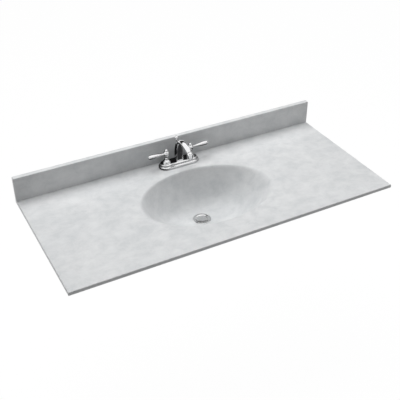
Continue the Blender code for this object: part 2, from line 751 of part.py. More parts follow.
def make_handle(side, x):
    """The stem, hub, screw, finial and lever, which turn together about the valve's axis."""
    carrier = axis_empty(f"{side}_handle_axis", (x, FAUCET_Y, PLATE_TOP))
    place = at(x, FAUCET_Y)
    screw_hole = STEM_SCREW_RADIUS + GAP
    stem = [
        (0, STEM_BOTTOM),
        (STEM_RADIUS, STEM_BOTTOM),
        (STEM_RADIUS, STEM_TOP),
        (screw_hole, STEM_TOP),
        (screw_hole, STEM_TOP - STEM_SCREW_DEPTH),
        (0, STEM_TOP - STEM_SCREW_DEPTH),
    ]
    piece(f"{side}_valve_stem", turned(stem, SMALL_STEPS, place), "brass", carrier)
    low_angle = -math.acos(HUB_NECK_RADIUS / HUB_BALL_RADIUS)
    high_angle = math.acos(HUB_RIM_RADIUS / HUB_BALL_RADIUS)
    ball_low = HUB_BALL_Z + HUB_BALL_RADIUS * math.sin(low_angle)
    outer = [
        (HUB_FOOT_RADIUS, HUB_BOTTOM),
        (HUB_FOOT_RADIUS, lerp(HUB_BOTTOM, ball_low, 0.2)),
        (HUB_NECK_RADIUS, lerp(HUB_BOTTOM, ball_low, 0.5)),
    ]
    outer += ball_points(HUB_BALL_RADIUS, HUB_BALL_Z, low_angle, high_angle, 7)
    well = [
        (HUB_WELL_RADIUS, HUB_TOP),
        (HUB_WELL_RADIUS, WEB_TOP),
        (screw_hole, WEB_TOP),
        (screw_hole, WEB_TOP - HUB_WEB),
        (HUB_SOCKET_RADIUS, WEB_TOP - HUB_WEB),
        (HUB_SOCKET_RADIUS, HUB_BOTTOM),
    ]
    hub = piece(f"{side}_handle_hub", turned(outer + well, ROUND_STEPS, place), "chrome", carrier)
    screw_low = STEM_TOP - STEM_SCREW_DEPTH + GAP
    head_low = WEB_TOP + GAP
    screw = [
        (0, screw_low),
        (STEM_SCREW_RADIUS, screw_low),
        (STEM_SCREW_RADIUS, head_low),
        (SCREW_HEAD_RADIUS, head_low),
        (SCREW_HEAD_RADIUS, head_low + SCREW_HEAD_HEIGHT),
        (0, head_low + SCREW_HEAD_HEIGHT),
    ]
    piece(f"{side}_handle_screw", turned(screw, SMALL_STEPS, place), "steel", carrier)
    spigot = HUB_WELL_RADIUS - GAP
    seat = HUB_TOP + GAP
    centre = seat + FINIAL_HEIGHT - FINIAL_RADIUS
    neck_angle = -math.asin(0.75 * (centre - seat) / FINIAL_RADIUS)
    finial = [
        (0, seat - FINIAL_SPIGOT),
        (spigot, seat - FINIAL_SPIGOT),
        (spigot, seat),
        (HUB_RIM_RADIUS, seat),
    ]
    finial += ball_points(FINIAL_RADIUS, centre, neck_angle, math.radians(66), 5)
    finial.append((0, seat + FINIAL_HEIGHT))
    piece(f"{side}_finial", turned(finial, ROUND_STEPS, place), "chrome", carrier)
    tilt = Matrix.Rotation(-LEVER_RISE, 4, "Y")
    side_turn = Matrix.Rotation(math.pi if x < 0 else 0, 4, "Z")
    outward = at(x, FAUCET_Y, HUB_BALL_Z) @ side_turn @ tilt @ ALONG_X
    spigot_end = HUB_BALL_RADIUS - LEVER_SPIGOT_DEPTH
    socket_radius = LEVER_SPIGOT_RADIUS + GAP
    socket_end = HUB_BALL_RADIUS + OVERRUN
    cut(hub, rod(socket_radius, spigot_end - GAP, socket_end, SMALL_STEPS, outward))
    collar_at = HUB_BALL_RADIUS + GAP
    lever = [
        (0, spigot_end),
        (LEVER_SPIGOT_RADIUS, spigot_end),
        (LEVER_SPIGOT_RADIUS, collar_at),
        (LEVER_COLLAR_RADIUS, collar_at),
        (LEVER_COLLAR_RADIUS, lerp(collar_at, LEVER_REACH, 0.04)),
    ]
    for along, swell in LEVER_SHARES:
        lever.append((lerp(LEVER_THIN_RADIUS, LEVER_BULB_RADIUS, swell), LEVER_REACH * along))
    lever.append((0, LEVER_REACH))
    piece(f"{side}_lever", turned(lever, SMALL_STEPS + 2, outward), "chrome", carrier)


def arch(inset, y, steps=18):
    """The column's arched outline at y, drawn in by inset."""
    half = COLUMN_WIDTH / 2 - inset
    foot = SPOUT_BOTTOM + inset
    spring = SPOUT_BOTTOM + COLUMN_HEIGHT * COLUMN_SPRING_SHARE
    rise = SPOUT_BOTTOM + COLUMN_HEIGHT - inset - spring
    points = [(-half, y, foot), (half, y, foot)]
    for i in range(steps + 1):
        turn = math.pi * i / steps
        points.append((half * math.cos(turn), y, spring + rise * math.sin(turn)))
    return points


def spout_ring(forward, height, size, thin=1.0):
    """An oval ring across the spout's arm, and the point and direction of its middle."""
    return (
        Vector((0, FAUCET_Y - SPOUT_REACH * forward, SPOUT_BOTTOM + SPOUT_CREST * height)),
        SPOUT_HALF_WIDTH * size * thin,
        SPOUT_HALF_HEIGHT * size * thin,
    )


def arm(thin, skip=0):
    """The swept arm of the spout; thin draws its section in."""
    stations = [spout_ring(*shares, thin) for shares in SPOUT_PATH_SHARES[skip:]]
    rings = []
    for i, (middle, half_width, half_height) in enumerate(stations):
        before = stations[max(i - 1, 0)][0]
        after = stations[min(i + 1, len(stations) - 1)][0]
        along = (after - before).normalized()
        across = Vector((0, -along.z, along.y))
        ring = []
        for k in range(ROUND_STEPS - 4):
            turn = 2 * math.pi * k / (ROUND_STEPS - 4)
            sideways = Vector((half_width * math.cos(turn), 0, 0))
            ring.append(middle + sideways + across * half_height * math.sin(turn))
        rings.append(ring)
    return lofted(rings)


def make_spout():
    front = FAUCET_Y - COLUMN_FRONT
    back = FAUCET_Y + COLUMN_BACK
    rings = [
        arch(COLUMN_EDGE, front),
        arch(0, front + COLUMN_EDGE),
        arch(0, back - COLUMN_EDGE),
        arch(COLUMN_EDGE, back),
    ]
    spout = piece("spout", lofted(rings), "chrome")
    tip = spout_ring(*SPOUT_PATH_SHARES[-1])[0]
    outlet_place = at(0, OUTLET_Y)
    ball_z = SPOUT_BOTTOM + OUTLET_BALL_HEIGHT
    outlet = [(0, MOUTH_Z), (OUTLET_RADIUS, MOUTH_Z)]
    outlet += ball_points(OUTLET_RADIUS, ball_z, 0, math.radians(70), 6)
    outlet.append((0, ball_z + OUTLET_RADIUS))
    fuse(spout, arm(1.0), turned(outlet, ROUND_STEPS, outlet_place))
    socket_top = MOUTH_Z + SOCKET_DEPTH
    boss_place = at(0, FAUCET_Y - boss_forward())
    boss_top = PLATE_TOP + CENTRE_BOSS_RISE + GAP
    first = spout_ring(*SPOUT_PATH_SHARES[1])[0]
    cut(
        spout,
        lofted([arch(PANEL_BORDER, y) for y in (front - OVERRUN, front + PANEL_DEPTH)]),
        rod(SOCKET_RADIUS, MOUTH_Z - OVERRUN, socket_top, ROUND_STEPS, outlet_place),
        rod(COLUMN_BORE_RADIUS, socket_top - OVERRUN, tip.z + RUNNING_GAP, SMALL_STEPS, outlet_place),
        arm(SPOUT_BORE_SHARE),
        rod(CENTRE_BOSS_RADIUS + GAP, SPOUT_BOTTOM - OVERRUN, boss_top, ROUND_STEPS, boss_place),
        rod(COLUMN_BORE_RADIUS, boss_top - GAP, first.z - OVERRUN, SMALL_STEPS, boss_place),
    )


def make_aerator():
    place = at(0, OUTLET_Y)
    thread_radius = SOCKET_RADIUS - GAP
    lip_top = MOUTH_Z - GAP
    thread_top = lip_top + AERATOR_THREAD_HEIGHT
    ledge_z = lip_top - AERATOR_LIP_HEIGHT + SCREEN_LEDGE
    screen_radius = AERATOR_BORE_RADIUS + SCREEN_LEDGE
    housing = [
        (AERATOR_LIP_RADIUS, lip_top - AERATOR_LIP_HEIGHT),
        (AERATOR_LIP_RADIUS, lip_top),
        (thread_radius, lip_top),
        (thread_radius, thread_top),
        (screen_radius, thread_top),
        (screen_radius, ledge_z),
        (AERATOR_BORE_RADIUS, ledge_z),
        (AERATOR_BORE_RADIUS, lip_top - AERATOR_LIP_HEIGHT),
    ]
    piece("aerator_housing", turned(housing, ROUND_STEPS, place), "chrome")
    low = ledge_z + GAP
    disc = rod(screen_radius - GAP, low, low + SCREEN_THICKNESS, ROUND_STEPS, place)
    screen = piece("aerator_screen", disc, "white_plastic")
    for i in range(SCREEN_HOLES):
        turn = 2 * math.pi * i / SCREEN_HOLES
        x, y = SCREEN_HOLE_CIRCLE * math.cos(turn), SCREEN_HOLE_CIRCLE * math.sin(turn)
        hole = rod(SCREEN_HOLE_RADIUS, low - OVERRUN, low + OVERRUN, 8, at(x, OUTLET_Y + y))
        cut(screen, hole)
    washer_low = thread_top + GAP
    washer = [
        (thread_radius, washer_low),
        (thread_radius, washer_low + AERATOR_WASHER_THICKNESS),
        (COLUMN_BORE_RADIUS, washer_low + AERATOR_WASHER_THICKNESS),
        (COLUMN_BORE_RADIUS, washer_low),
    ]
    piece("aerator_washer", turned(washer, ROUND_STEPS, place), "black_rubber")


def make_shank_fixings(side, x):
    place = at(x, FAUCET_Y)
    bore = SHANK_RADIUS + GAP
    top = UNDERSIDE_RELIEF - GAP
    washer_low = top - WASHER_THICKNESS
    washer = [(WASHER_RADIUS, washer_low), (WASHER_RADIUS, top), (bore, top), (bore, washer_low)]
    piece(f"{side}_mounting_washer", turned(washer, HOLE_STEPS, place), "steel")
    nut_top = washer_low - GAP
    nut = hex_nut(NUT_ACROSS_FLATS, bore, nut_top - NUT_HEIGHT, nut_top, place)
    piece(f"{side}_mounting_nut", nut, "brass")


def hex_nut(across_flats, bore, low, high, place):
    rings = [
        hexagon(across_flats, low, HEX_STEPS),
        hexagon(across_flats, high, HEX_STEPS),
        circle(bore, high, HEX_STEPS),
        circle(bore, low, HEX_STEPS),
    ]
    mesh = lofted(rings, ring_shaped=True)
    bmesh.ops.transform(mesh, matrix=place, verts=mesh.verts)
    return mesh


# Lift rod and its link


def make_lift():
    carrier = axis_empty("lift_rod_axis", (0, LIFT_Y, DECK_TOP))
    place = at(0, LIFT_Y)
    knob_low = LIFT_KNOB_Z - LIFT_KNOB_HEIGHT / 2
    socket_top = LIFT_KNOB_Z
    socket = LIFT_ROD_RADIUS + GAP
    knob = [
        (socket, knob_low),
        (LIFT_KNOB_RADIUS * 0.62, knob_low),
        (LIFT_KNOB_RADIUS * 0.62, lerp(knob_low, LIFT_KNOB_Z, 0.2)),
    ]
    ball_z = knob_low + LIFT_KNOB_HEIGHT - LIFT_KNOB_RADIUS
    knob += ball_points(LIFT_KNOB_RADIUS, ball_z, math.radians(-52), math.radians(62), 6)
    knob += [(0, knob_low + LIFT_KNOB_HEIGHT), (0, socket_top), (socket, socket_top)]
    piece("lift_knob", knob_mesh(knob, place), "chrome", carrier)
    lift = rod(LIFT_ROD_RADIUS, DECK_TOP - LIFT_ROD_BELOW, socket_top - GAP, SMALL_STEPS, place)
    piece("lift_rod", lift, "chrome", carrier)
    make_strap(carrier)
    make_clip(carrier)


def knob_mesh(outline, place):
    """A turned knob whose outline meets the axis at its crown and again at the end of its socket."""
    crown = next(i for i, (radius, _) in enumerate(outline) if radius == 0)
    return turned(outline[crown + 1 :] + outline[: crown + 1], SMALL_STEPS + 2, place)


def make_strap(carrier):
    top = DECK_TOP - STRAP_TOP_BELOW
    web_y = LIFT_Y - STRAP_STAND_OFF
    tail_top = STRAP_HOLE_Z + STRAP_TAIL_ABOVE
    route = [
        (LIFT_Y + STRAP_EAR, top),
        (web_y, top),
        (web_y, top - STRAP_HEAD_LENGTH),
        (STRAP_Y, tail_top),
        (STRAP_Y, STRAP_HOLE_Z - STRAP_TAIL_LENGTH),
    ]
    strap = piece("clevis_strap", sheet(route, STRAP_THICKNESS, STRAP_WIDTH), "steel", carrier)
    ear_hole = rod(LIFT_ROD_RADIUS + GAP, top - OVERRUN, top + OVERRUN, SMALL_STEPS, at(0, LIFT_Y))
    cut(strap, ear_hole)
    screw_z = top - THUMB_BELOW_EAR
    screw_place = at(0, web_y, screw_z) @ ALONG_Y
    cut(strap, rod(THUMB_SHANK_RADIUS + GAP, -OVERRUN, OVERRUN, SMALL_STEPS, screw_place))
    for i in range(STRAP_HOLES):
        z = STRAP_HOLE_Z - STRAP_HOLE_PITCH * i
        hole = rod(STRAP_HOLE_RADIUS, -OVERRUN, OVERRUN, SMALL_STEPS, at(0, STRAP_Y, z) @ ALONG_Y)
        cut(strap, hole)
    head_back = -STRAP_THICKNESS / 2 - GAP
    tip = STRAP_STAND_OFF - LIFT_ROD_RADIUS - GAP
    screw = [
        (0, head_back - THUMB_HEAD_HEIGHT),
        (THUMB_HEAD_RADIUS, head_back - THUMB_HEAD_HEIGHT),
        (THUMB_HEAD_RADIUS, head_back),
        (THUMB_SHANK_RADIUS, head_back),
        (THUMB_SHANK_RADIUS, tip),
        (0, tip),
    ]
    piece("clevis_screw", turned(screw, SMALL_STEPS, screw_place), "brass", carrier)


def make_clip(carrier):
    top = STRAP_HOLE_Z + CLIP_RISE
    loop = STRAP_HOLE_Z - STRAP_TAIL_LENGTH - CLIP_HALF_SPAN
    route = [
        (STRAP_Y - CLIP_HALF_SPAN, top),
        (STRAP_Y - CLIP_HALF_SPAN, loop),
        (STRAP_Y + CLIP_HALF_SPAN, loop),
        (STRAP_Y + CLIP_HALF_SPAN, top),
    ]
    clip = piece("spring_clip", sheet(route, CLIP_THICKNESS, CLIP_WIDTH), "steel", carrier)
    reach = CLIP_HALF_SPAN + OVERRUN
    cut(clip, rod(CLIP_HOLE_RADIUS, -reach, reach, SMALL_STEPS, at(0, STRAP_Y, STRAP_HOLE_Z) @ ALONG_Y))


# Drain


def make_flange():
    place = at(0, DRAIN_Y)
    outline = [(FLANGE_RADIUS, FLANGE_BOTTOM), (FLANGE_RADIUS, FLOOR_Z)]
    outline += [(FLANGE_RADIUS * r, FLOOR_Z + FLANGE_LIP * h) for r, h in FLANGE_DISH_SHARES]
    outline += [
        (FLANGE_THROAT_RADIUS, SEAT_Z + FLANGE_LIP),
        (FLANGE_THROAT_RADIUS, NECK_BOTTOM),
        (FLANGE_NECK_RADIUS, NECK_BOTTOM),
        (FLANGE_NECK_RADIUS, FLANGE_BOTTOM),
    ]
    piece("drain_flange", turned(outline, RING_STEPS, place), "chrome")


def make_stopper():
    carrier = axis_empty("stopper_axis", (0, DRAIN_Y, STOPPER_TOP))
    place = at(0, DRAIN_Y)
    rim_z = STOPPER_TOP - STOPPER_CROWN
    under = rim_z - STOPPER_RIM
    hub_bottom = under - STOPPER_HUB_DEPTH
    groove_top = under - GAP
    groove_low = groove_top - SEAL_THICKNESS
    cap = [
        (0, STOPPER_TOP),
        (STOPPER_RADIUS * 0.6, lerp(rim_z, STOPPER_TOP, 0.75)),
        (STOPPER_RADIUS * 0.92, rim_z),
        (STOPPER_RADIUS, lerp(rim_z, under, 0.4)),
        (STOPPER_RADIUS * 0.8, under),
        (STOPPER_HUB_RADIUS, under),
        (STOPPER_HUB_RADIUS, hub_bottom),
        (0, hub_bottom),
    ]
    stopper = piece("stopper", turned(cap, RING_STEPS, place), "chrome", carrier)
    half_width, half_thick = POST_WIDTH / 2, POST_THICKNESS / 2
    low = (-half_width, DRAIN_Y - half_thick, EYE_Z - POST_WIDTH / 2)
    high = (half_width, DRAIN_Y + half_thick, hub_bottom + GAP)
    fuse(stopper, block(low, high))
    cut(stopper, rod(POST_EYE_RADIUS, -OVERRUN, OVERRUN, SMALL_STEPS, at(0, DRAIN_Y, EYE_Z) @ ALONG_Y))
    inner = STOPPER_HUB_RADIUS + GAP
    seal = [(SEAL_RADIUS, groove_low), (SEAL_RADIUS, groove_top)]
    seal += [(inner, groove_top), (inner, groove_low)]
    piece("stopper_seal", turned(seal, HOLE_STEPS, place), "black_rubber", carrier)


def make_drain_stack():
    """The gasket, washer and nut that clamp the drain body under the bowl."""
    place = at(0, DRAIN_Y)
    bore = BODY_RADIUS + GAP
    top = BOSS_BOTTOM - GAP
    gasket_low = top - DRAIN_GASKET_THICKNESS
    gasket = [
        (DRAIN_GASKET_RADIUS * 0.85, gasket_low),
        (DRAIN_GASKET_RADIUS, lerp(gasket_low, top, 0.4)),
        (DRAIN_GASKET_RADIUS, top),
        (bore, top),
        (bore, gasket_low),
    ]
    piece("drain_gasket", turned(gasket, HOLE_STEPS, place), "black_rubber")
    washer_top = gasket_low - GAP
    washer_low = washer_top - DRAIN_WASHER_THICKNESS
    washer = [(DRAIN_WASHER_RADIUS, washer_low), (DRAIN_WASHER_RADIUS, washer_top)]
    washer += [(bore, washer_top), (bore, washer_low)]
    piece("drain_washer", turned(washer, HOLE_STEPS, place), "white_plastic")
    nut_top = washer_low - GAP
    nut = hex_nut(LOCKNUT_ACROSS_FLATS, bore, nut_top - LOCKNUT_HEIGHT, nut_top, place)
    piece("drain_locknut", nut, "brass")


def make_drain_body():
    place = at(0, DRAIN_Y)
    outline = [
        (0, BODY_BOTTOM),
        (BODY_WAIST_RADIUS, BODY_BOTTOM),
        (BODY_WAIST_RADIUS, BODY_THREAD_BOTTOM - (BODY_RADIUS - BODY_WAIST_RADIUS)),
        (BODY_RADIUS, BODY_THREAD_BOTTOM),
        (BODY_RADIUS, BODY_TOP),
        (0, BODY_TOP),
    ]
    body = piece("drain_body", turned(outline, HOLE_STEPS, place), "brass")
    port_place = at(0, DRAIN_Y, PIVOT_Z) @ ALONG_Y
    fuse(body, rod(PORT_RADIUS, GAP, PORT_END, ROUND_STEPS, port_place))
    step_z = NECK_BOTTOM - GAP
    bore = [
        (0, BODY_BOTTOM - OVERRUN),
        (BODY_THROAT_RADIUS, BODY_BOTTOM - OVERRUN),
        (BODY_THROAT_RADIUS, step_z),
        (BODY_BORE_RADIUS, step_z),
        (BODY_BORE_RADIUS, BODY_TOP + OVERRUN),
        (0, BODY_TOP + OVERRUN),
    ]
    seat_at = PIVOT_BEHIND_DRAIN - PIVOT_BALL_RADIUS - GAP
    port_bore = [
        (0, OVERRUN),
        (PORT_MOUTH_RADIUS, OVERRUN),
        (PORT_MOUTH_RADIUS, seat_at),
        (PORT_BORE_RADIUS, seat_at),
        (PORT_BORE_RADIUS, PORT_END + OVERRUN),
        (0, PORT_END + OVERRUN),
    ]
    cut(body, turned(bore, HOLE_STEPS, place), turned(port_bore, ROUND_STEPS, port_place))


def make_pivot():
    carrier = axis_empty("pivot_axis", (0, PIVOT_Y, PIVOT_Z))
    tilted = at(0, PIVOT_Y, PIVOT_Z) @ Matrix.Rotation(PIVOT_TILT, 4, "X") @ ALONG_Y
    inner = -PIVOT_BEHIND_DRAIN - PIVOT_ROD_TIP
    outer = PIVOT_OUTER_ARM + PIVOT_ROD_TAIL
    piece("pivot_rod", rod(PIVOT_ROD_RADIUS, inner, outer, SMALL_STEPS, tilted), "steel", carrier)
    bore = PIVOT_ROD_RADIUS + GAP
    edge = math.acos(bore / PIVOT_BALL_RADIUS)
    ball = ball_points(PIVOT_BALL_RADIUS, 0, -edge, edge, 7)
    piece("pivot_ball", turned(ball, ROUND_STEPS, tilted), "white_plastic", carrier)


def make_pivot_seal():
    """The outer seat behind the ball, and the cap nut that holds it on the port."""
    place = at(0, DRAIN_Y, PIVOT_Z) @ ALONG_Y
    seat_radius = PORT_BORE_RADIUS - GAP
    low = PORT_END - SEAT_THICKNESS
    cup_radius = math.sqrt((PIVOT_BALL_RADIUS + GAP) ** 2 - (low - PIVOT_BEHIND_DRAIN) ** 2)
    seat = [(seat_radius, low), (seat_radius, PORT_END), (SEAT_HOLE_RADIUS, PORT_END), (cup_radius, low)]
    piece("pivot_seat", turned(seat, ROUND_STEPS, place), "white_plastic")
    end_wall = PORT_END + GAP
    nut_end = end_wall + PIVOT_NUT_WALL
    nut_start = nut_end - PIVOT_NUT_LENGTH
    bore = PORT_RADIUS + GAP
    rings = []
    for radius, along, fluted in (
        (bore, nut_start, False),
        (PIVOT_NUT_RADIUS, nut_start, True),
        (PIVOT_NUT_RADIUS, nut_end, True),
        (PIVOT_NUT_HOLE_RADIUS, nut_end, False),
        (PIVOT_NUT_HOLE_RADIUS, end_wall, False),
        (bore, end_wall, False),
    ):
        ring = circle(radius, along, HEX_STEPS)
        if fluted:
            ring = [
                (x * PIVOT_NUT_FLUTE_SHARE, y * PIVOT_NUT_FLUTE_SHARE, z) if i % 3 == 0 else (x, y, z)
                for i, (x, y, z) in enumerate(ring)
            ]
        rings.append(ring)
    mesh = lofted(rings, ring_shaped=True)
    bmesh.ops.transform(mesh, matrix=place, verts=mesh.verts)
    piece("pivot_nut", mesh, "white_plastic")


def make_tailpiece():
    top = BODY_BOTTOM + TAILPIECE_ENTRY
    bottom = BODY_BOTTOM - TAILPIECE_LENGTH
    inner = TAILPIECE_RADIUS - TAILPIECE_WALL
    tube = [(TAILPIECE_RADIUS, bottom), (TAILPIECE_RADIUS, top), (inner, top), (inner, bottom)]
    piece("tailpiece", turned(tube, HOLE_STEPS, at(0, DRAIN_Y)), "chrome")


def main():
    for old in list(bpy.data.objects):
        bpy.data.objects.remove(old)
    make_sink_top()
    make_backsplash()
    make_gasket()
    make_base_plate()
    make_faucet_body()
    for side, x in (("left", -HANDLE_X), ("right", HANDLE_X)):
        make_valve(side, x)
        make_handle(side, x)
        make_shank_fixings(side, x)
    make_spout()
    make_aerator()
    make_lift()
    make_flange()
    make_stopper()
    make_drain_stack()
    make_drain_body()
    make_pivot()
    make_pivot_seal()
    make_tailpiece()


main()
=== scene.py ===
"""The vanity sink top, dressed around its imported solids, with its stage, lamps and camera."""

import json
from math import acos, asin, atan, atan2, cos, hypot, pi, radians, sin, sqrt

import bmesh
import bpy
from mathutils import Matrix, Vector
from mathutils.kdtree import KDTree


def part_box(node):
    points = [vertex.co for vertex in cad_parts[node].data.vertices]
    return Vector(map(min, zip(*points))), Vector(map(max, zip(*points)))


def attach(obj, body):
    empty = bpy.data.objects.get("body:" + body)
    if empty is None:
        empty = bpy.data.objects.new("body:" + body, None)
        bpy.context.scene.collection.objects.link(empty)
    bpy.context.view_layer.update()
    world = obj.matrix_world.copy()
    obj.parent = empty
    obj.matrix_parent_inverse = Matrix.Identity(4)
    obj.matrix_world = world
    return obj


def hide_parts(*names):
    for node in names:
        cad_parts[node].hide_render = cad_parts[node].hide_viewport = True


bl_info = {
    "name": "Vanity Sink Top",
    "version": (1, 0, 0),
    "blender": (4, 5, 0),
    "location": "View3D > Sidebar > Sink Top",
    "description": "Models a cast vanity top with its bowl, backsplash, faucet and pop-up drain",
    "category": "Object",
}

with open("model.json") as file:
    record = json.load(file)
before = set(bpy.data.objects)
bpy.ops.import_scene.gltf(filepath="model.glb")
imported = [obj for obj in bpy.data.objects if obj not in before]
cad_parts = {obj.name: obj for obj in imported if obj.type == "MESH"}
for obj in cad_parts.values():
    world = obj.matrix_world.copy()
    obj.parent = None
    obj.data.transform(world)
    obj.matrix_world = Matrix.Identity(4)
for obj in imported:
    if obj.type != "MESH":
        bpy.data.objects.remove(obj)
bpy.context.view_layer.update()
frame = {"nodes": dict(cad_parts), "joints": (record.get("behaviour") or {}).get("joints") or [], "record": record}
NODES = frame["nodes"]
SLOT_OF = {entry["node"]: entry["material_slot"] for entry in frame["record"]["subparts"]}

RING_POINTS = 160
BAR_POINTS = 128
ARM_POINTS = 64
TURN_STEPS = 96
WASHER_STEPS = 64
SMALL_TURN_STEPS = 48
SCREW_STEPS = 40
SMOOTH_ANGLE = radians(32)
WELD = 1e-6
ALONG_Y = Matrix.Rotation(-pi / 2, 4, "X")


def middle_of(node):
    """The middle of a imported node's box."""
    low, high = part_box(node)
    return (low + high) / 2


def size_of(node):
    low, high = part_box(node)
    return high - low


def at(x, y, z=0.0):
    return Matrix.Translation((x, y, z))


TOP_LOW, TOP_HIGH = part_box("sink_top")
SPLASH_LOW, SPLASH_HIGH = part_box("backsplash")
PLATE_LOW, PLATE_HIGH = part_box("base_plate")
FRONT_Y = TOP_LOW.y
WALL_Y = TOP_HIGH.y
DECK_TOP = TOP_HIGH.z
FAUCET_Y = middle_of("base_plate").y
DRAIN_Y = middle_of("tailpiece").y
HANDLE_X = middle_of("right_bell").x
SIDES = (("left", -HANDLE_X), ("right", HANDLE_X))
AT_DRAIN = at(0, DRAIN_Y)

# Radii and lengths that more than one outline shares, in metres
BARREL_HOLE = 0.0113
BELL_FOOT = 0.0155
STEM_HOLE = 0.0033
NECK = 0.0070
HUB_BALL = 0.0115
HUB_RISE = 0.022
FINIAL_BALL = 0.0067
FINIAL_NECK = 0.0041
LEVER_REACH = 0.076
LEVER_THIN, LEVER_THICK = 0.0034, 0.0086
KNOB_BALL = 0.0068
PIVOT_BALL = 0.0065
SPOUT_BALL = 0.0112
SPOUT_REACH = 0.104
SPOUT_CREST = 0.092
COLUMN_HALF = 0.0135
COLUMN_DEPTH = 0.0195
COLUMN_RISE = 0.078
SHANK_BORE = 0.0106
WASTE_BORE = 0.0216

# Each tier of the base plate: its inset, and its rise before all are scaled to the plate's height
PLATE_TIERS = (
    (0, 0.27), (0.02, 0.05), (0.06, 0.045), (0.10, 0.025), (0.14, 0.015), (0.26, 0.012), (0.14, 0.015),
    (0.08, 0.035), (0.03, 0.06), (0, 0.22), (0.03, 0.08), (0.08, 0.07), (0.14, 0.06), (0.22, 0.04),
)
# Stations of the spout's arm: shares of its reach, of its crest's height and of its thickness
ARM_SHARES = (
    (0.00, 0.60, 0.66), (0.03, 0.74, 0.80), (0.12, 0.87, 0.93), (0.26, 0.965, 1.0),
    (0.42, 1.0, 1.0), (0.58, 0.975, 0.97), (0.74, 0.92, 0.93), (0.87, 0.84, 0.82),
)
# Shares of a bell's radius and height
BELL_SHARES = (
    (0.95, 0.24), (0.94, 0.34), (0.87, 0.46), (0.76, 0.57), (0.64, 0.68), (0.54, 0.78), (0.48, 0.87),
)
# Shares of a lever's reach, and of the way from its thin to its thick radius
LEVER_SHARES = (
    (0.21, 0.0), (0.29, 0.14), (0.42, 0.46), (0.56, 0.76),
    (0.70, 0.94), (0.83, 1.0), (0.92, 0.86), (0.975, 0.46),
)

# The colour's name, lowest and highest roughness, scale and depth of the grain, darkest share of the
# colour, and metallic share of each finish
FINISHES = {
    "chrome": ("chrome", 0.03, 0.075, 900.0, 0.015, 0.985, 1.0),
    "worn_chrome": ("chrome", 0.08, 0.15, 900.0, 0.03, 0.97, 0.84),
    "brass": ("brass", 0.24, 0.42, 700.0, 0.10, 0.80, 1.0),
    "steel": ("zinc", 0.28, 0.45, 500.0, 0.10, 0.82, 1.0),
    "black_rubber": ("rubber", 0.55, 0.8, 800.0, 0.2, 0.8, 0.0),
    "white_plastic": ("plastic", 0.32, 0.5, 600.0, 0.06, 0.93, 0.0),
    "clear_silicone": ("silicone", 0.25, 0.5, 300.0, 0.1, 0.93, 0.0),
}
# Scale of the mottling, its dark and pale ends, and scale and detail of the wear
METAL_MOTTLE = (60.0, 0.35, 0.6, 140.0, 3.0)
MOULDED_MOTTLE = (45.0, 0.3, 0.7, 90.0, 2.0)
WHITE = (1, 1, 1, 1)


def share_property(name, description, default, **more):
    return bpy.props.FloatProperty(name=name, description=description, default=default, min=0.0, **more)


def length_property(name, description, default):
    return share_property(name, description, default, unit="LENGTH", precision=5)


def power_property(name, description, default):
    return share_property(name, description, default, unit="POWER")


def angle_property(name, description, degrees):
    return bpy.props.FloatProperty(
        name=name, description=description, default=radians(degrees), subtype="ANGLE"
    )


def place_property(name, description, default):
    return bpy.props.FloatVectorProperty(
        name=name, description=description, default=default, subtype="TRANSLATION"
    )


def colour_property(name, description, default):
    return bpy.props.FloatVectorProperty(
        name=name, description=description, default=default, min=0.0, max=1.0, size=3, subtype="COLOR"
    )


class CastTopSettings(bpy.types.PropertyGroup):
    """Sizes and colours of the cast top and its backsplash."""

    edge_round: length_property("Edge Round", "Radius of the deck's top edge", 0.0028)
    splash_round: length_property("Backsplash Round", "Radius of the backsplash's edges", 0.0022)
    bowl_length: length_property("Bowl Length", "Length of the oval bowl's rim", 0.516)
    bowl_width: length_property("Bowl Width", "Width of the oval bowl's rim, front to back", 0.352)
    bowl_depth: length_property("Bowl Depth", "Depth of the bowl at the drain", 0.140)
    bowl_wall: length_property("Bowl Wall", "Thickness of the casting around the bowl", 0.010)
    bowl_middle: length_property("Bowl Middle", "Distance of the bowl's middle from the front edge", 0.268)
    floor_power: share_property("Floor Power", "How far the bowl's floor stays flat before its wall", 4.4)
    rim_power: share_property("Rim Power", "How softly the bowl's wall rolls over into the deck", 2.0)
    floor_fall: share_property("Floor Fall", "Share of the bowl's depth that its floor falls", 0.08)
    border: length_property("Border", "Width of the border under the deck that sits on the cabinet", 0.025)
    relief: length_property("Relief", "How far the underside is hollowed out inside its border", 0.001)
    recess_radius: length_property("Recess Radius", "Radius of the drain flange's recess", 0.0335)
    recess_depth: length_property("Recess Depth", "Depth of the drain flange's recess", 0.0055)
    boss_radius: length_property("Boss Radius", "Radius of the boss under the bowl", 0.038)
    drain_hole: length_property("Drain Hole", "Radius of the hole for the drain body", 0.02225)
    faucet_hole: length_property("Faucet Hole", "Radius of each of the faucet's three holes", 0.01905)
    stone: colour_property("Stone", "Main colour of the cast stone", (0.735, 0.745, 0.752))
    cloud: colour_property("Cloud", "Colour of the darker clouds in the stone", (0.675, 0.690, 0.698))
    haze: colour_property("Haze", "Colour of the palest clouds in the stone", (0.785, 0.795, 0.800))


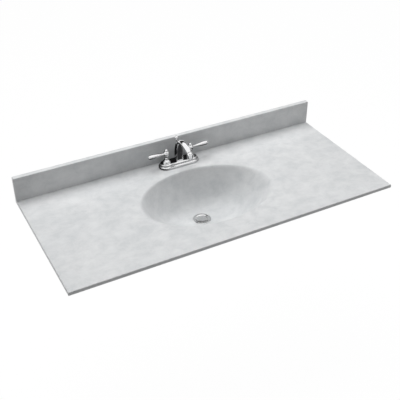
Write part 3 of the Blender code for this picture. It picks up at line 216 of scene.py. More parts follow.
class FaucetSettings(bpy.types.PropertyGroup):
    """Sizes and colours of the faucet and the drain."""

    plate_step: length_property("Plate Step", "How far the base plate's upper tier is set in", 0.0065)
    arm_width: length_property("Arm Width", "Width of the spout's arm", 0.0220)
    arm_height: length_property("Arm Height", "Height of the spout's arm", 0.0150)
    panel_border: length_property("Panel Border", "Width of the border on the column's front", 0.0028)
    panel_depth: length_property("Panel Depth", "Depth of the panel in the column's front", 0.0012)
    thread_pitch: length_property("Thread Pitch", "Distance from one thread to the next", 0.0018)
    chrome: colour_property("Chrome", "Colour of the polished chrome", (0.900, 0.905, 0.910))
    brass: colour_property("Brass", "Colour of the machined brass", (0.640, 0.440, 0.180))
    zinc: colour_property("Zinc", "Colour of the plated steel", (0.420, 0.425, 0.430))
    rubber: colour_property("Rubber", "Colour of the rubber seals", (0.025, 0.025, 0.026))
    plastic: colour_property("Plastic", "Colour of the moulded plastic", (0.720, 0.720, 0.690))
    silicone: colour_property("Silicone", "Colour of the cured silicone", (0.560, 0.570, 0.565))


class StageSettings(bpy.types.PropertyGroup):
    """The floor, the lamps and the camera."""

    floor_drop: length_property("Floor Drop", "Height of the deck's underside above the floor", 0.80)
    floor: colour_property("Floor", "Colour of the floor", (0.58, 0.58, 0.58))
    flag_lift: length_property("Card Lift", "Height of the flat cards above the deck", 0.002)
    flag: colour_property("Flag", "Colour of the dark flags that the chrome reflects", (0.015, 0.015, 0.016))
    ambient: share_property("Ambient", "Strength of the even light from all round", 0.225)
    key: power_property("Key", "Strength of the soft main light", 78.0)
    key_size: length_property("Lamp Size", "Width of each soft lamp", 2.6)
    key_place: place_property("Key Place", "Main light from the middle of the deck", (-0.317, 0.976, 2.819))
    fill: power_property("Fill", "Strength of the weaker light from the right", 12.0)
    fill_place: place_property("Fill Place", "Weaker light from the middle of the deck", (1.9, 0.0, 1.5))
    camera_place: place_property("Camera Place", "Camera from the front edge", (-1.024, -1.593, 1.455))
    camera_turn: angle_property("Camera Turn", "How far the camera looks to the right", 28.09)
    camera_dip: angle_property("Camera Dip", "How far the camera looks down", 34.95)
    camera_lens: bpy.props.FloatProperty(
        name="Camera Lens", description="Focal length on a 36 mm wide sensor", default=64.22, unit="CAMERA"
    )


# Modelling steps


def deselect():
    if bpy.context.object and bpy.context.object.mode != "OBJECT":
        done()
    bpy.ops.object.select_all(action="DESELECT")


def done():
    bpy.ops.object.mode_set(mode="OBJECT")


def pick(piece):
    deselect()
    piece.select_set(True)
    bpy.context.view_layer.objects.active = piece


def edit(piece):
    pick(piece)
    bpy.ops.object.mode_set(mode="EDIT")


def select_all(action="SELECT"):
    bpy.ops.mesh.select_all(action=action)


def select_verts(piece, chosen):
    """Selects, in edit mode, the vertices that chosen accepts."""
    select_all("DESELECT")
    bpy.ops.mesh.select_mode(type="VERT")
    mesh = bmesh.from_edit_mesh(piece.data)
    for vert in mesh.verts:
        if chosen(vert.co):
            vert.select = True
    mesh.select_flush(True)
    bmesh.update_edit_mesh(piece.data)


def select_parts(piece, kind, chosen):
    """Selects, in edit mode, the edges or faces that chosen accepts."""
    bpy.ops.mesh.select_mode(type=kind)
    select_all("DESELECT")
    mesh = bmesh.from_edit_mesh(piece.data)
    for part in mesh.edges if kind == "EDGE" else mesh.faces:
        part.select = chosen(part)
    bmesh.update_edit_mesh(piece.data)


def extrude(x, y, z):
    bpy.ops.mesh.extrude_region_move(TRANSFORM_OT_translate={"value": (x, y, z)})


def turn_outwards(weld=0.0):
    """Turns all faces outwards, in edit mode, after merging points that lie as close as weld."""
    select_all()
    if weld:
        bpy.ops.mesh.remove_doubles(threshold=weld)
    bpy.ops.mesh.normals_make_consistent(inside=False)


def apply_modifiers(piece):
    pick(piece)
    for modifier in list(piece.modifiers):
        bpy.ops.object.modifier_apply(modifier=modifier.name)


def bevel(piece, width, angle=SMOOTH_ANGLE):
    modifier = piece.modifiers.new("round", "BEVEL")
    modifier.width = width
    modifier.segments = 3
    modifier.limit_method = "ANGLE"
    modifier.angle_limit = angle
    apply_modifiers(piece)


def bevel_edges(offset, segments):
    bpy.ops.mesh.bevel(offset=offset, segments=segments, profile=0.5, affect="EDGES")
    done()


def boolean(piece, other, operation):
    """Joins another piece on, or cuts it away, and deletes it."""
    modifier = piece.modifiers.new("shape", "BOOLEAN")
    modifier.operation = operation
    modifier.solver = "EXACT"
    modifier.object = other
    apply_modifiers(piece)
    tool = other.name
    bpy.data.objects.remove(other)
    mesh = bmesh.new()
    mesh.from_mesh(piece.data)
    broken = sum(not edge.is_manifold for edge in mesh.edges)
    mesh.free()
    if broken:
        raise RuntimeError(f"{tool} left {broken} open edges in {piece.name}")


def settle(piece, place=None):
    """Moves a piece to its place and puts that place into its mesh."""
    pick(piece)
    if place is not None:
        piece.matrix_world = place
    bpy.ops.object.transform_apply(location=True, rotation=True, scale=True)
    return piece


def block(name, middle, size):
    deselect()
    bpy.ops.mesh.primitive_cube_add(size=1, location=middle, scale=size)
    piece = settle(bpy.context.object)
    piece.name = name
    return piece


def disc(radius, low, high):
    """Outline points of a plain rod between two heights."""
    return [(0, low), (radius, low), (radius, high), (0, high)]


def closed(outline):
    return outline + outline[:1]


def washer(inner, outer, low, high, soft):
    """Outline points of a flat ring with soft outer edges."""
    return closed(rounded([(inner, low), (outer, low, soft), (outer, high, soft), (inner, high)]))


def rounded(points, steps=4):
    """An outline with each corner that carries a third number, its rounding, drawn as a short curve."""
    out = []
    for i, point in enumerate(points):
        here = Vector(point[:2])
        soft = point[2] if len(point) > 2 else 0.0
        if not soft or i in (0, len(points) - 1):
            out.append(here)
            continue
        before, after = Vector(points[i - 1][:2]), Vector(points[i + 1][:2])
        reach = min(soft, (before - here).length * 0.48, (after - here).length * 0.48)
        start = here + (before - here).normalized() * reach
        end = here + (after - here).normalized() * reach
        for k in range(steps + 1):
            s = k / steps
            out.append(start * (1 - s) ** 2 + here * 2 * s * (1 - s) + end * s**2)
    return [tuple(p) for p in out]


def flowing(points, steps=5):
    """A smooth curve through the points."""
    line = [Vector(p) for p in points]
    line = [line[0] * 2 - line[1]] + line + [line[-1] * 2 - line[-2]]
    out = []
    for a, b, c, d in zip(line, line[1:], line[2:], line[3:]):
        for k in range(steps):
            s = k / steps
            bend, twist = a * 2 - b * 5 + c * 4 - d, b * 3 - a - c * 3 + d
            out.append((b * 2 + (c - a) * s + bend * s**2 + twist * s**3) / 2)
    out.append(line[-2])
    return [tuple(p) for p in out]


def ball(radius, centre, start, end, steps=12):
    """Outline points of a ball between two angles above its middle."""
    angles = [start + (end - start) * i / steps for i in range(steps + 1)]
    return [(radius * cos(a), centre + radius * sin(a)) for a in angles]


def thread(radius, depth, start, end, pitch):
    """Outline points of a thread's ridges between two heights."""
    count = max(1, round(abs(end - start) / pitch))
    step = (end - start) / count
    points = []
    for i in range(count):
        z = start + step * i
        points += [(radius - depth, z + step * 0.12), (radius, z + step * 0.42), (radius, z + step * 0.58)]
        points.append((radius - depth, z + step * 0.88))
    return points


def turned(name, outline, steps=TURN_STEPS, place=None):
    """A piece spun about Z from an outline of (radius, height) points, walked with extrude."""
    deselect()
    bpy.ops.mesh.primitive_plane_add(size=0.001)
    piece = bpy.context.object
    piece.name = name
    edit(piece)
    bpy.ops.mesh.select_mode(type="VERT")
    select_all()
    bpy.ops.mesh.merge(type="CENTER")
    bpy.ops.transform.translate(value=(outline[0][0], 0, outline[0][1]))
    for (r0, z0), (r1, z1) in zip(outline, outline[1:]):
        extrude(r1 - r0, 0, z1 - z0)
    select_all()
    bpy.ops.mesh.spin(steps=steps, angle=2 * pi, center=(0, 0, 0), axis=(0, 0, 1))
    turn_outwards(WELD)
    done()
    return settle(piece, place)


def drill(piece, name, outline, steps, place=None):
    """Cuts away from a piece what the outline sweeps when it is spun."""
    boolean(piece, turned(name, outline, steps, place), "DIFFERENCE")


def grown(name, rings, closed_ends=True):
    """A piece extruded ring by ring; each ring is a list of as many points."""
    deselect()
    fill = "NGON" if closed_ends else "NOTHING"
    bpy.ops.mesh.primitive_circle_add(vertices=len(rings[0]), radius=0.01, fill_type=fill)
    piece = bpy.context.object
    piece.name = name
    for vert, point in zip(piece.data.vertices, rings[0]):
        vert.co = point
    edit(piece)
    for before, ring in zip(rings, rings[1:]):
        bpy.ops.mesh.extrude_region_move()
        tree = KDTree(len(before))
        for index, point in enumerate(before):
            tree.insert(point, index)
        tree.balance()
        mesh = bmesh.from_edit_mesh(piece.data)
        for vert in mesh.verts:
            if vert.select:
                vert.co = ring[tree.find(vert.co)[1]]
        bmesh.update_edit_mesh(piece.data)
    turn_outwards()
    done()
    return piece


def bar_plate(name, length, width, low, tiers):
    """A bar with round ends, raised from its bottom by (inset, rise) steps, standing at the faucet."""
    deselect()
    bpy.ops.mesh.primitive_circle_add(vertices=BAR_POINTS, radius=width / 2, fill_type="NGON")
    piece = bpy.context.object
    piece.name = name
    edit(piece)
    select_all()
    bpy.ops.transform.rotate(value=pi / BAR_POINTS, orient_axis="Z", center_override=(0, 0, 0))
    for side in (1, -1):
        select_verts(piece, lambda co: co.x * side > 0)
        bpy.ops.transform.translate(value=(side * (length - width) / 2, 0, 0))
    bpy.ops.mesh.select_mode(type="FACE")
    select_all()
    for inset, rise in tiers:
        if inset:
            bpy.ops.mesh.inset(thickness=inset, depth=rise)
        else:
            extrude(0, 0, rise)
    turn_outwards()
    done()
    return settle(piece, at(0, FAUCET_Y, low))


def flute(piece, centre, radius, count, share, low=-1.0, high=1.0):
    """Draws in every other pair of points, beyond a radius, round a piece that lies along Y."""

    def chosen(co):
        turn = atan2(co.z - centre.z, co.x) / (2 * pi) * count
        return hypot(co.x, co.z - centre.z) > radius and low < co.y < high and turn % 1.0 < 0.5

    edit(piece)
    select_verts(piece, chosen)
    bpy.ops.transform.resize(value=(share, 1, share), center_override=centre)
    done()


# Finishes


def add_node(tree, kind, inputs, **settings):
    """A node of that kind; each input gets a value, or a link from another node's output."""
    node = tree.nodes.new("ShaderNode" + kind)
    for key, value in settings.items():
        setattr(node, key, value)
    for key, value in inputs.items():
        if isinstance(value, bpy.types.NodeSocket):
            tree.links.new(value, node.inputs[key])
        else:
            node.inputs[key].default_value = value
    return node


def new_material(name):
    """A material with its node tree, its shader and the place on the object."""
    material = bpy.data.materials.new(name)
    material.use_nodes = True
    tree = material.node_tree
    place = add_node(tree, "TexCoord", {}).outputs["Object"]
    return material, tree, tree.nodes["Principled BSDF"], place


def noise(tree, place, scale, detail, output="Fac", **more):
    values = {"Vector": place, "Scale": scale, "Detail": detail, **more}
    return add_node(tree, "TexNoise", values).outputs[output]


def ramp(tree, factor, stops):
    node = add_node(tree, "ValToRGB", {"Fac": factor})
    elements = node.color_ramp.elements
    for element, (position, colour) in zip((elements[0], elements[1]), (stops[0], stops[-1])):
        element.position, element.color = position, (*colour, 1)
    for position, colour in stops[1:-1]:
        elements.new(position).color = (*colour, 1)
    return node.outputs["Color"]


def math_node(tree, operation, *values):
    return add_node(tree, "Math", dict(enumerate(values)), operation=operation).outputs["Value"]


def mix_shaders(tree, factor, one, other, output):
    mix = add_node(tree, "MixShader", {"Fac": factor, 1: one, 2: other})
    tree.links.new(mix.outputs["Shader"], tree.nodes[output].inputs["Surface"])


def add_mottle(tree, shader, blotch, colour, darkest, dark_end, pale_end):
    """Colours a shader, and darkens it where the blotches are."""
    dark = tuple(min(1.0, c * darkest) for c in colour)
    colours = ramp(tree, blotch, [(dark_end, dark), (pale_end, tuple(colour))])
    tree.links.new(colours, shader.inputs["Base Color"])


def add_gloss(tree, shader, wear, low, high):
    rough = add_node(tree, "MapRange", {"Value": wear, "To Min": low, "To Max": high})
    tree.links.new(rough.outputs["Result"], shader.inputs["Roughness"])


def add_bump(tree, shader, height, strength, distance):
    bump = add_node(tree, "Bump", {"Strength": strength, "Distance": distance, "Height": height})
    tree.links.new(bump.outputs["Normal"], shader.inputs["Normal"])


def cast_stone(title, settings):
    """Glossy cast stone: pale grey, with soft clouds and faint darker patches."""
    material, tree, shader, place = new_material(title)
    warp = noise(tree, place, 5.5, 3.0, "Color")
    drift = {0: warp, 1: (0.05, 0.05, 0.05), 2: place}
    shifted = add_node(tree, "VectorMath", drift, operation="MULTIPLY_ADD").outputs["Vector"]
    stretch = add_node(tree, "Mapping", {"Vector": shifted, "Scale": (1.0, 1.2, 1.1)}).outputs["Vector"]
    clouds = noise(tree, stretch, 21.0, 6.0, Distortion=0.2, Roughness=0.66)
    colours = ramp(tree, clouds, [(0.36, settings.cloud), (0.50, settings.stone), (0.66, settings.haze)])
    patches = noise(tree, stretch, 5.5, 4.0, Distortion=0.2)
    shade = ramp(tree, patches, [(0.38, (0.955, 0.960, 0.963)), (0.62, (1, 1, 1))])
    layers = {"Factor": 1.0, "A": colours, "B": shade}
    mix = add_node(tree, "Mix", layers, data_type="RGBA", blend_type="MULTIPLY")
    tree.links.new(mix.outputs["Result"], shader.inputs["Base Color"])
    add_gloss(tree, shader, noise(tree, place, 34.0, 3.0), 0.26, 0.36)
    add_bump(tree, shader, noise(tree, place, 9.0, 1.0), 0.06, 0.002)
    shader.inputs["IOR"].default_value = 1.5
    return material


def grained(title, settings, colour, low, high, grain, depth, darkest, metallic):
    """Metal, rubber, plastic or silicone: faint mottling, gloss that varies, and a fine grain."""
    material, tree, shader, place = new_material(title)
    kind = METAL_MOTTLE if metallic else MOULDED_MOTTLE
    scale, dark_end, pale_end, wear_scale, wear_detail = kind
    blotch = noise(tree, place, scale, 4.0)
    add_mottle(tree, shader, blotch, getattr(settings, colour), darkest, dark_end, pale_end)
    add_gloss(tree, shader, noise(tree, place, wear_scale, wear_detail), low, high)
    add_bump(tree, shader, noise(tree, place, grain, 2.0), depth, 0.0002)
    shader.inputs["Metallic"].default_value = metallic
    return material


def finish_named(name):
    """The finish of that name, made when it is first asked for."""
    title = name + "_finish"
    made = bpy.data.materials.get(title)
    if made:
        return made
    if name == "cast_stone":
        return cast_stone(title, bpy.context.scene.cast_top_settings)
    return grained(title, bpy.context.scene.faucet_settings, *FINISHES[name])


def dress(piece, body, *nodes, finish=None):
    """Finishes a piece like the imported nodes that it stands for, or with another finish."""
    slot = SLOT_OF[nodes[0]]
    pick(piece)
    bpy.ops.object.shade_smooth_by_angle(angle=SMOOTH_ANGLE)
    piece.data.materials.clear()
    piece.data.materials.append(finish_named(finish or slot))
    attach(piece, body)
    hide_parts(*nodes)


def lathe(name, outline, steps, place, body, node, finish=None):
    """A turned piece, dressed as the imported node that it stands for."""
    dress(turned(name, outline, steps, place), body, node, finish=finish)


# Pieces


class SINKTOP_OT_cast_top(bpy.types.Operator):
    """Model the cast deck with its oval bowl"""

    bl_idname = "sinktop.cast_top"
    bl_label = "Cast Top"

    def execute(self, context):
        cast = context.scene.cast_top_settings
        spread = [2 * pi * (i + 0.5) / RING_POINTS for i in range(RING_POINTS)]
        bowl_y = FRONT_Y + cast.bowl_middle
        hole, recess, boss_radius = cast.drain_hole, cast.recess_radius, cast.boss_radius
        floor = DECK_TOP - cast.bowl_depth
        seat = floor - cast.recess_depth
        boss = seat - cast.bowl_wall
        under = floor - cast.bowl_wall

        def bowl_ring(u, wall=0.0):
            """A level ring of the bowl; u is 0 at the drain recess and 1 at the rim."""
            flat, roll, fall = cast.floor_power, cast.rim_power, cast.floor_fall
            soft = (1 - u**flat) ** roll
            depth = cast.bowl_depth * (soft * (1 - fall) + (1 - u) * fall)
            slope = flat * roll * u ** (flat - 1) * (1 - u**flat) ** (roll - 1) * (1 - fall) + fall
            run = (cast.bowl_length + cast.bowl_width) / 4 - recess
            angle = atan(cast.bowl_depth * slope / run) if wall else 0
            out = wall * sin(angle)
            half_x = recess + (cast.bowl_length / 2 - recess) * u + out
            half_y = recess + (cast.bowl_width / 2 - recess) * u + out
            y = DRAIN_Y + (bowl_y - DRAIN_Y) * u
            z = DECK_TOP - depth - wall * cos(angle)
            return [(half_x * cos(t), y + half_y * sin(t), z) for t in spread]

        def drain_rings(*sizes):
            """Level rings round the drain, from their (radius, height) pairs."""
            return [[(r * cos(t), DRAIN_Y + r * sin(t), z) for t in spread] for r, z in sizes]

        def wider(points, by):
            """The ring of points set outwards by a distance along the deck."""
            middle = Vector((0, bowl_y, DECK_TOP))
            return [tuple(Vector(p) + (Vector(p) - middle).normalized() * by) for p in points]

        def oblong(inset, z, back_inset=0.0):
            """Points round the deck's outline, each in line with the bowl's middle."""
            wall_y, front_y = WALL_Y - back_inset, FRONT_Y + inset
            half_x, front, back = TOP_HIGH.x - inset, bowl_y - FRONT_Y - inset, wall_y - bowl_y
            points = []
            for t in spread:
                c, s = cos(t), sin(t)
                reach = min(half_x / abs(c), (back if s > 0 else front) / abs(s))
                points.append([reach * c, bowl_y + reach * s, z])
            for x, y in ((-half_x, front_y), (half_x, front_y), (half_x, wall_y), (-half_x, wall_y)):
                nearest = min(points, key=lambda p: (p[0] - x) ** 2 + (p[1] - y) ** 2)
                nearest[0], nearest[1] = x, y
            return [tuple(p) for p in points]

        rings = drain_rings(
            (hole, seat),
            (recess - 0.0008, seat),
            (recess, seat + 0.0008),
            (recess, floor - 0.0012),
            (recess + 0.0003, floor - 0.0004),
        )
        rings += [bowl_ring(1 - (i / 44) ** 1.35) for i in range(43, 0, -1)]
        rim = bowl_ring(1.0)
        rings += [rim, wider(rim, 0.006), wider(rim, 0.03)]
        soft = cast.edge_round
        for step in range(7):
            angle = pi / 2 * step / 6
            rings.append(oblong(soft * (1 - sin(angle)), DECK_TOP - soft * (1 - cos(angle))))
        rings += [oblong(0, 0.0006), oblong(0.0006, 0), oblong(cast.border, 0, cast.border)]
        rings.append(oblong(cast.border + 0.0002, cast.relief, cast.border + 0.0002))
        outer = [1 - (i / 24) ** 1.3 for i in range(0, 24)]
        shell = [bowl_ring(u, cast.bowl_wall) for u in outer if u > 0.16]
        shell = [ring for ring in shell if ring[0][2] < cast.relief - 0.0002]
        rings += [[(x, y, cast.relief) for x, y, _ in shell[0]]] + shell
        rings += drain_rings(
            (boss_radius + 0.006, under - 0.0005),
            (boss_radius, under - 0.003),
            (boss_radius, boss + 0.001),
            (boss_radius - 0.001, boss),
            (hole, boss),
            (hole, seat),
        )
        deck = grown("cast_deck", rings, closed_ends=False)
        edit(deck)
        turn_outwards(WELD)
        done()
        for x in (-HANDLE_X, 0, HANDLE_X):
            drill(deck, "faucet_hole", disc(cast.faucet_hole, -0.01, 0.03), WASHER_STEPS, at(x, FAUCET_Y))
        dress(deck, "top", "sink_top")
        return {"FINISHED"}


class SINKTOP_OT_backsplash(bpy.types.Operator):
    """Model the separate backsplash along the wall"""

    bl_idname = "sinktop.backsplash"
    bl_label = "Backsplash"

    def execute(self, context):
        size, middle = SPLASH_HIGH - SPLASH_LOW, (SPLASH_LOW + SPLASH_HIGH) / 2
        splash = block("cast_backsplash", middle, size)

        def seen(edge):
            """Whether an edge is upright or along the top."""
            one, other = (vert.co.z for vert in edge.verts)
            return abs(one - other) > size.z / 2 or min(one, other) > middle.z

        edit(splash)
        select_parts(splash, "EDGE", seen)
        bevel_edges(context.scene.cast_top_settings.splash_round, 6)
        room = Vector((0.0006, 0.0006, 0.0006))
        node = "backsplash_adhesive"
        boolean(splash, block("groove", middle_of(node), size_of(node) + room), "DIFFERENCE")
        dress(splash, "top", "backsplash")
        return {"FINISHED"}


class SINKTOP_OT_base_plate(bpy.types.Operator):
    """Model the faucet's stepped base plate"""

    bl_idname = "sinktop.base_plate"
    bl_label = "Base Plate"

    def execute(self, context):
        step = context.scene.faucet_settings.plate_step
        size = PLATE_HIGH - PLATE_LOW
        used = sum(up for _, up in PLATE_TIERS)
        steps = [(step * inset, size.z * up / used) for inset, up in PLATE_TIERS]
        plate = bar_plate("plate_cover", size.x, size.y, PLATE_LOW.z, steps)
        hollow = [(0, size.z - 0.001)]
        hollow = bar_plate("plate_hollow", size.x - 0.020, size.y - 0.020, PLATE_LOW.z - 0.002, hollow)
        boolean(plate, hollow, "DIFFERENCE")
        rod = middle_of("lift_rod")
        for radius, x, y in (
            (BARREL_HOLE, -HANDLE_X, FAUCET_Y),
            (BARREL_HOLE, HANDLE_X, FAUCET_Y),
            (0.0031, rod.x, rod.y),
        ):
            drill(plate, "plate_hole", disc(radius, -0.01, 0.05), SMALL_TURN_STEPS, at(x, y))
        dress(plate, "top", "base_plate")
        return {"FINISHED"}


class SINKTOP_OT_spout(bpy.types.Operator):
    """Model the arched column with its curved spout arm"""

    bl_idname = "sinktop.spout"
    bl_label = "Spout"

    def execute(self, context):
        faucet = context.scene.faucet_settings
        low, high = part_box("spout")
        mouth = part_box("aerator_housing")[0].z + 0.0038
        place = at(0, middle_of("aerator_housing").y)
        column = self.make_column(faucet, low.z, high.y)
        boolean(column, self.make_arm(faucet, low.z), "UNION")
        ball_z = low.z + 0.0715
        outline = [(0, mouth), (0.0104, mouth), (SPOUT_BALL, mouth + 0.0008), (SPOUT_BALL, ball_z)]
        outline += ball(SPOUT_BALL, ball_z, 0, radians(84), 14)[1:] + [(0, ball_z + SPOUT_BALL)]
        boolean(column, turned("spout_end", outline, TURN_STEPS, place), "UNION")
        drill(column, "spout_socket", disc(0.0094, mouth - 0.002, mouth + 0.009), WASHER_STEPS, place)
        dress(column, "top", "spout")
        return {"FINISHED"}

    def make_column(self, faucet, foot, back):
        """The column: straight sides under a round arch, with a sunk panel in its front."""
        front = back - COLUMN_DEPTH
        spring = foot + COLUMN_RISE * 0.42
        crown = foot + COLUMN_RISE
        deselect()
        bpy.ops.mesh.primitive_circle_add(
            vertices=BAR_POINTS, radius=1, fill_type="NGON", rotation=(pi / 2, 0, 0)
        )
        column = settle(bpy.context.object)
        column.name = "spout_body"
        edit(column)
        select_all()
        bpy.ops.transform.resize(value=(COLUMN_HALF, 1, crown - spring), center_override=(0, 0, 0))
        bpy.ops.transform.translate(value=(0, front, spring))
        select_verts(column, lambda co: co.z < spring - 0.0001)
        bpy.ops.transform.resize(value=(1, 1, 0), center_override=(0, front, foot))
        select_verts(column, lambda co: co.z < foot + 0.0001 and abs(co.x) < COLUMN_HALF * 0.998)
        bpy.ops.mesh.dissolve_verts()
        select_all()
        extrude(0, back - front, 0)
        turn_outwards()
        select_parts(column, "FACE", lambda face: face.normal.y < -0.9)
        bpy.ops.mesh.inset(thickness=faucet.panel_border, depth=0)
        bpy.ops.mesh.inset(thickness=0.0003, depth=-faucet.panel_depth)
        done()
        bevel(column, 0.0007, radians(40))
        edit(column)
        turn_outwards(0.00002)
        done()
        return column

    def make_arm(self, faucet, foot):
        """The arm, swept along its stations, thickest at its crest."""
        stations = flowing(ARM_SHARES, 5)
        line = [Vector((0, FAUCET_Y - SPOUT_REACH * s[0], foot + SPOUT_CREST * s[1])) for s in stations]
        rings = []
        for i, (middle, share) in enumerate(zip(line, stations)):
            along = (line[min(i + 1, len(line) - 1)] - line[max(i - 1, 0)]).normalized()
            across = Vector((0, -along.z, along.y))
            ring = []
            for k in range(ARM_POINTS):
                turn = 2 * pi * (k + 0.5) / ARM_POINTS
                side = Vector((faucet.arm_width / 2 * share[2] * cos(turn), 0, 0))
                ring.append(middle + side + across * faucet.arm_height / 2 * share[2] * sin(turn))
            rings.append(ring)
        return grown("spout_arm", rings)


class SINKTOP_OT_aerator(bpy.types.Operator):
    """Model the aerator in the spout's end"""

    bl_idname = "sinktop.aerator"
    bl_label = "Aerator"

    def execute(self, context):
        low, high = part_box("aerator_housing")
        place = at(0, middle_of("aerator_housing").y)
        lip = low.z + 0.0035
        outline = [(0.0072, lip - 0.0020), (0.0072, low.z, 0.0004), (0.0106, low.z, 0.0008)]
        outline += [(0.0106, lip, 0.0003), (0.0091, lip), (0.0091, high.z), (0.0084, high.z)]
        outline = closed(rounded(outline + [(0.0084, lip - 0.0020)]))
        lathe("aerator_ring", outline, TURN_STEPS, place, "top", "aerator_housing")
        low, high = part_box("aerator_screen")
        screen = turned("aerator_mesh", disc(0.0080, low.z, high.z), SMALL_TURN_STEPS, place)
        hole = disc(0.00085, low.z - 0.001, high.z + 0.001)
        for circle, count in ((0.0, 1), (0.0026, 6), (0.0050, 12)):
            for i in range(count):
                turn = 2 * pi * i / count
                drill(screen, "screen_hole", hole, 10, place @ at(circle * cos(turn), circle * sin(turn)))
        dress(screen, "top", "aerator_screen")
        return {"FINISHED"}


class SINKTOP_OT_handles(bpy.types.Operator):
    """Model the two bells, handle hubs, finials and levers"""

    bl_idname = "sinktop.handles"
    bl_label = "Handles"

    def execute(self, context):
        for side, x in SIDES:
            place = at(x, FAUCET_Y)
            self.make_bell(side, place)
            self.make_hub(side, place)
            self.make_finial(side, place)
            self.make_lever(side, x)
        return {"FINISHED"}

    def make_bell(self, side, place):
        low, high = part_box(f"{side}_bell")
        tall = high.z - low.z
        bulge = flowing([(BELL_FOOT * r, low.z + tall * h) for r, h in BELL_SHARES], 4)
        foot = [(BARREL_HOLE, low.z), (BELL_FOOT, low.z, 0.0004), (BELL_FOOT, low.z + tall * 0.10, 0.0008)]
        foot = rounded(foot + [(0.0143, low.z + tall * 0.15, 0.0006), bulge[0]])
        collar = [(NECK, high.z - 0.0012, 0.0006), (NECK, high.z, 0.0003), (STEM_HOLE, high.z)]
        collar = rounded([bulge[-1]] + collar)
        inner = [(STEM_HOLE, high.z - 0.006), (BARREL_HOLE, low.z + 0.006), (BARREL_HOLE, low.z)]
        outline = foot + bulge[1:-1] + collar + inner
        lathe(f"{side}_bell_cover", outline, TURN_STEPS, place, "top", f"{side}_bell")

    def make_hub(self, side, place):
        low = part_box(f"{side}_handle_hub")[0]
        centre = low.z + HUB_RISE
        neck = [(NECK, low.z + 0.0022), (0.0060, low.z + 0.0048), (0.0055, low.z + 0.0085)]
        neck = flowing(neck, 4)
        outline = [(STEM_HOLE, low.z), (NECK, low.z, 0.0003), (NECK, low.z + 0.0022, 0.0004), neck[1]]
        outline = rounded(outline) + neck[2:]
        outline += ball(HUB_BALL, centre, -acos(0.0058 / HUB_BALL), acos(0.0059 / HUB_BALL), 24)
        outline += [(0.0044, outline[-1][1]), (0.0044, centre - 0.003), (STEM_HOLE, centre - 0.003)]
        body = f"{side}_handle"
        lathe(f"{side}_hub", closed(outline), TURN_STEPS, place, body, f"{side}_handle_hub")

    def make_finial(self, side, place):
        low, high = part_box(f"{side}_finial")
        seat = high.z - 0.009
        outline = [(0, low.z), (FINIAL_NECK, low.z), (FINIAL_NECK, seat), (0.0058, seat)]
        start = -asin(0.75 * 0.0023 / FINIAL_BALL)
        outline += ball(FINIAL_BALL, high.z - FINIAL_BALL, start, radians(86), 18) + [(0, high.z)]
        lathe(f"{side}_knob", outline, TURN_STEPS, place, f"{side}_handle", f"{side}_finial")

    def make_lever(self, side, x):
        start = HUB_BALL + 0.0003
        swell = LEVER_THICK - LEVER_THIN
        shares = [(LEVER_THIN + swell * s, LEVER_REACH * a) for a, s in LEVER_SHARES]
        shape = flowing(shares + [(0.0009, LEVER_REACH * 0.999)], 5)
        collar = [(0.0030, start - 0.0045), (0.0030, start - 0.0004), (0.0048, start, 0.0004)]
        collar = rounded(collar + [(0.0048, start + 0.0024, 0.0008), (0.0036, start + 0.0030)])
        outline = [(0, start - 0.0045)] + collar + shape + [(0, LEVER_REACH)]
        rise = Matrix.Rotation(-radians(1.5), 4, "Y")
        turn = Matrix.Rotation(pi, 4, "Z") if x < 0 else Matrix()
        hub_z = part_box(f"{side}_handle_hub")[0].z + HUB_RISE
        place = at(x, FAUCET_Y, hub_z) @ turn @ rise @ Matrix.Rotation(pi / 2, 4, "Y")
        body, node = f"{side}_handle", f"{side}_lever"
        lathe(f"{side}_lever_arm", outline, WASHER_STEPS, place, body, node)


class SINKTOP_OT_lift(bpy.types.Operator):
    """Model the lift knob, its rod and the thumb screw"""

    bl_idname = "sinktop.lift"
    bl_label = "Lift Rod"

    def execute(self, context):
        low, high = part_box("lift_knob")
        place = at(0, middle_of("lift_rod").y)
        outline = [(0, low.z + 0.006), (0.0027, low.z + 0.006), (0.0027, low.z), (0.0040, low.z, 0.0004)]
        outline += [(0.0043, low.z + 0.0018, 0.0006), (0.0033, low.z + 0.0030, 0.0005)]
        outline = rounded(outline + [(0.0044, low.z + 0.0044)])
        outline += ball(KNOB_BALL, high.z - KNOB_BALL, radians(-46), radians(86), 20) + [(0, high.z)]
        lathe("lift_ball", outline, WASHER_STEPS, place, "lift", "lift_knob")
        low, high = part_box("lift_rod")
        outline = rounded([(0, low.z), (0.0024, low.z, 0.0008), (0.0024, high.z), (0, high.z)])
        lathe("lift_bar", outline, SMALL_TURN_STEPS, place, "lift", "lift_rod")
        low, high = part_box("clevis_screw")
        middle = (low + high) / 2
        long = high.y - low.y
        outline = [(0, 0), (0.0062, 0, 0.0006), (0.0075, 0.0010, 0.0005), (0.0075, 0.0036, 0.0005)]
        outline = rounded(outline) + [(0.0062, 0.0045), (0.0021, 0.0045)]
        outline += thread(0.0021, 0.0003, 0.0048, long - 0.0004, 0.0008) + [(0, long)]
        screw = turned("thumb_screw", outline, SCREW_STEPS, at(0, low.y, middle.z) @ ALONG_Y)
        flute(screw, Vector((0, middle.y, middle.z)), 0.0070, 20, 0.93)
        dress(screw, "lift", "clevis_screw")
        return {"FINISHED"}


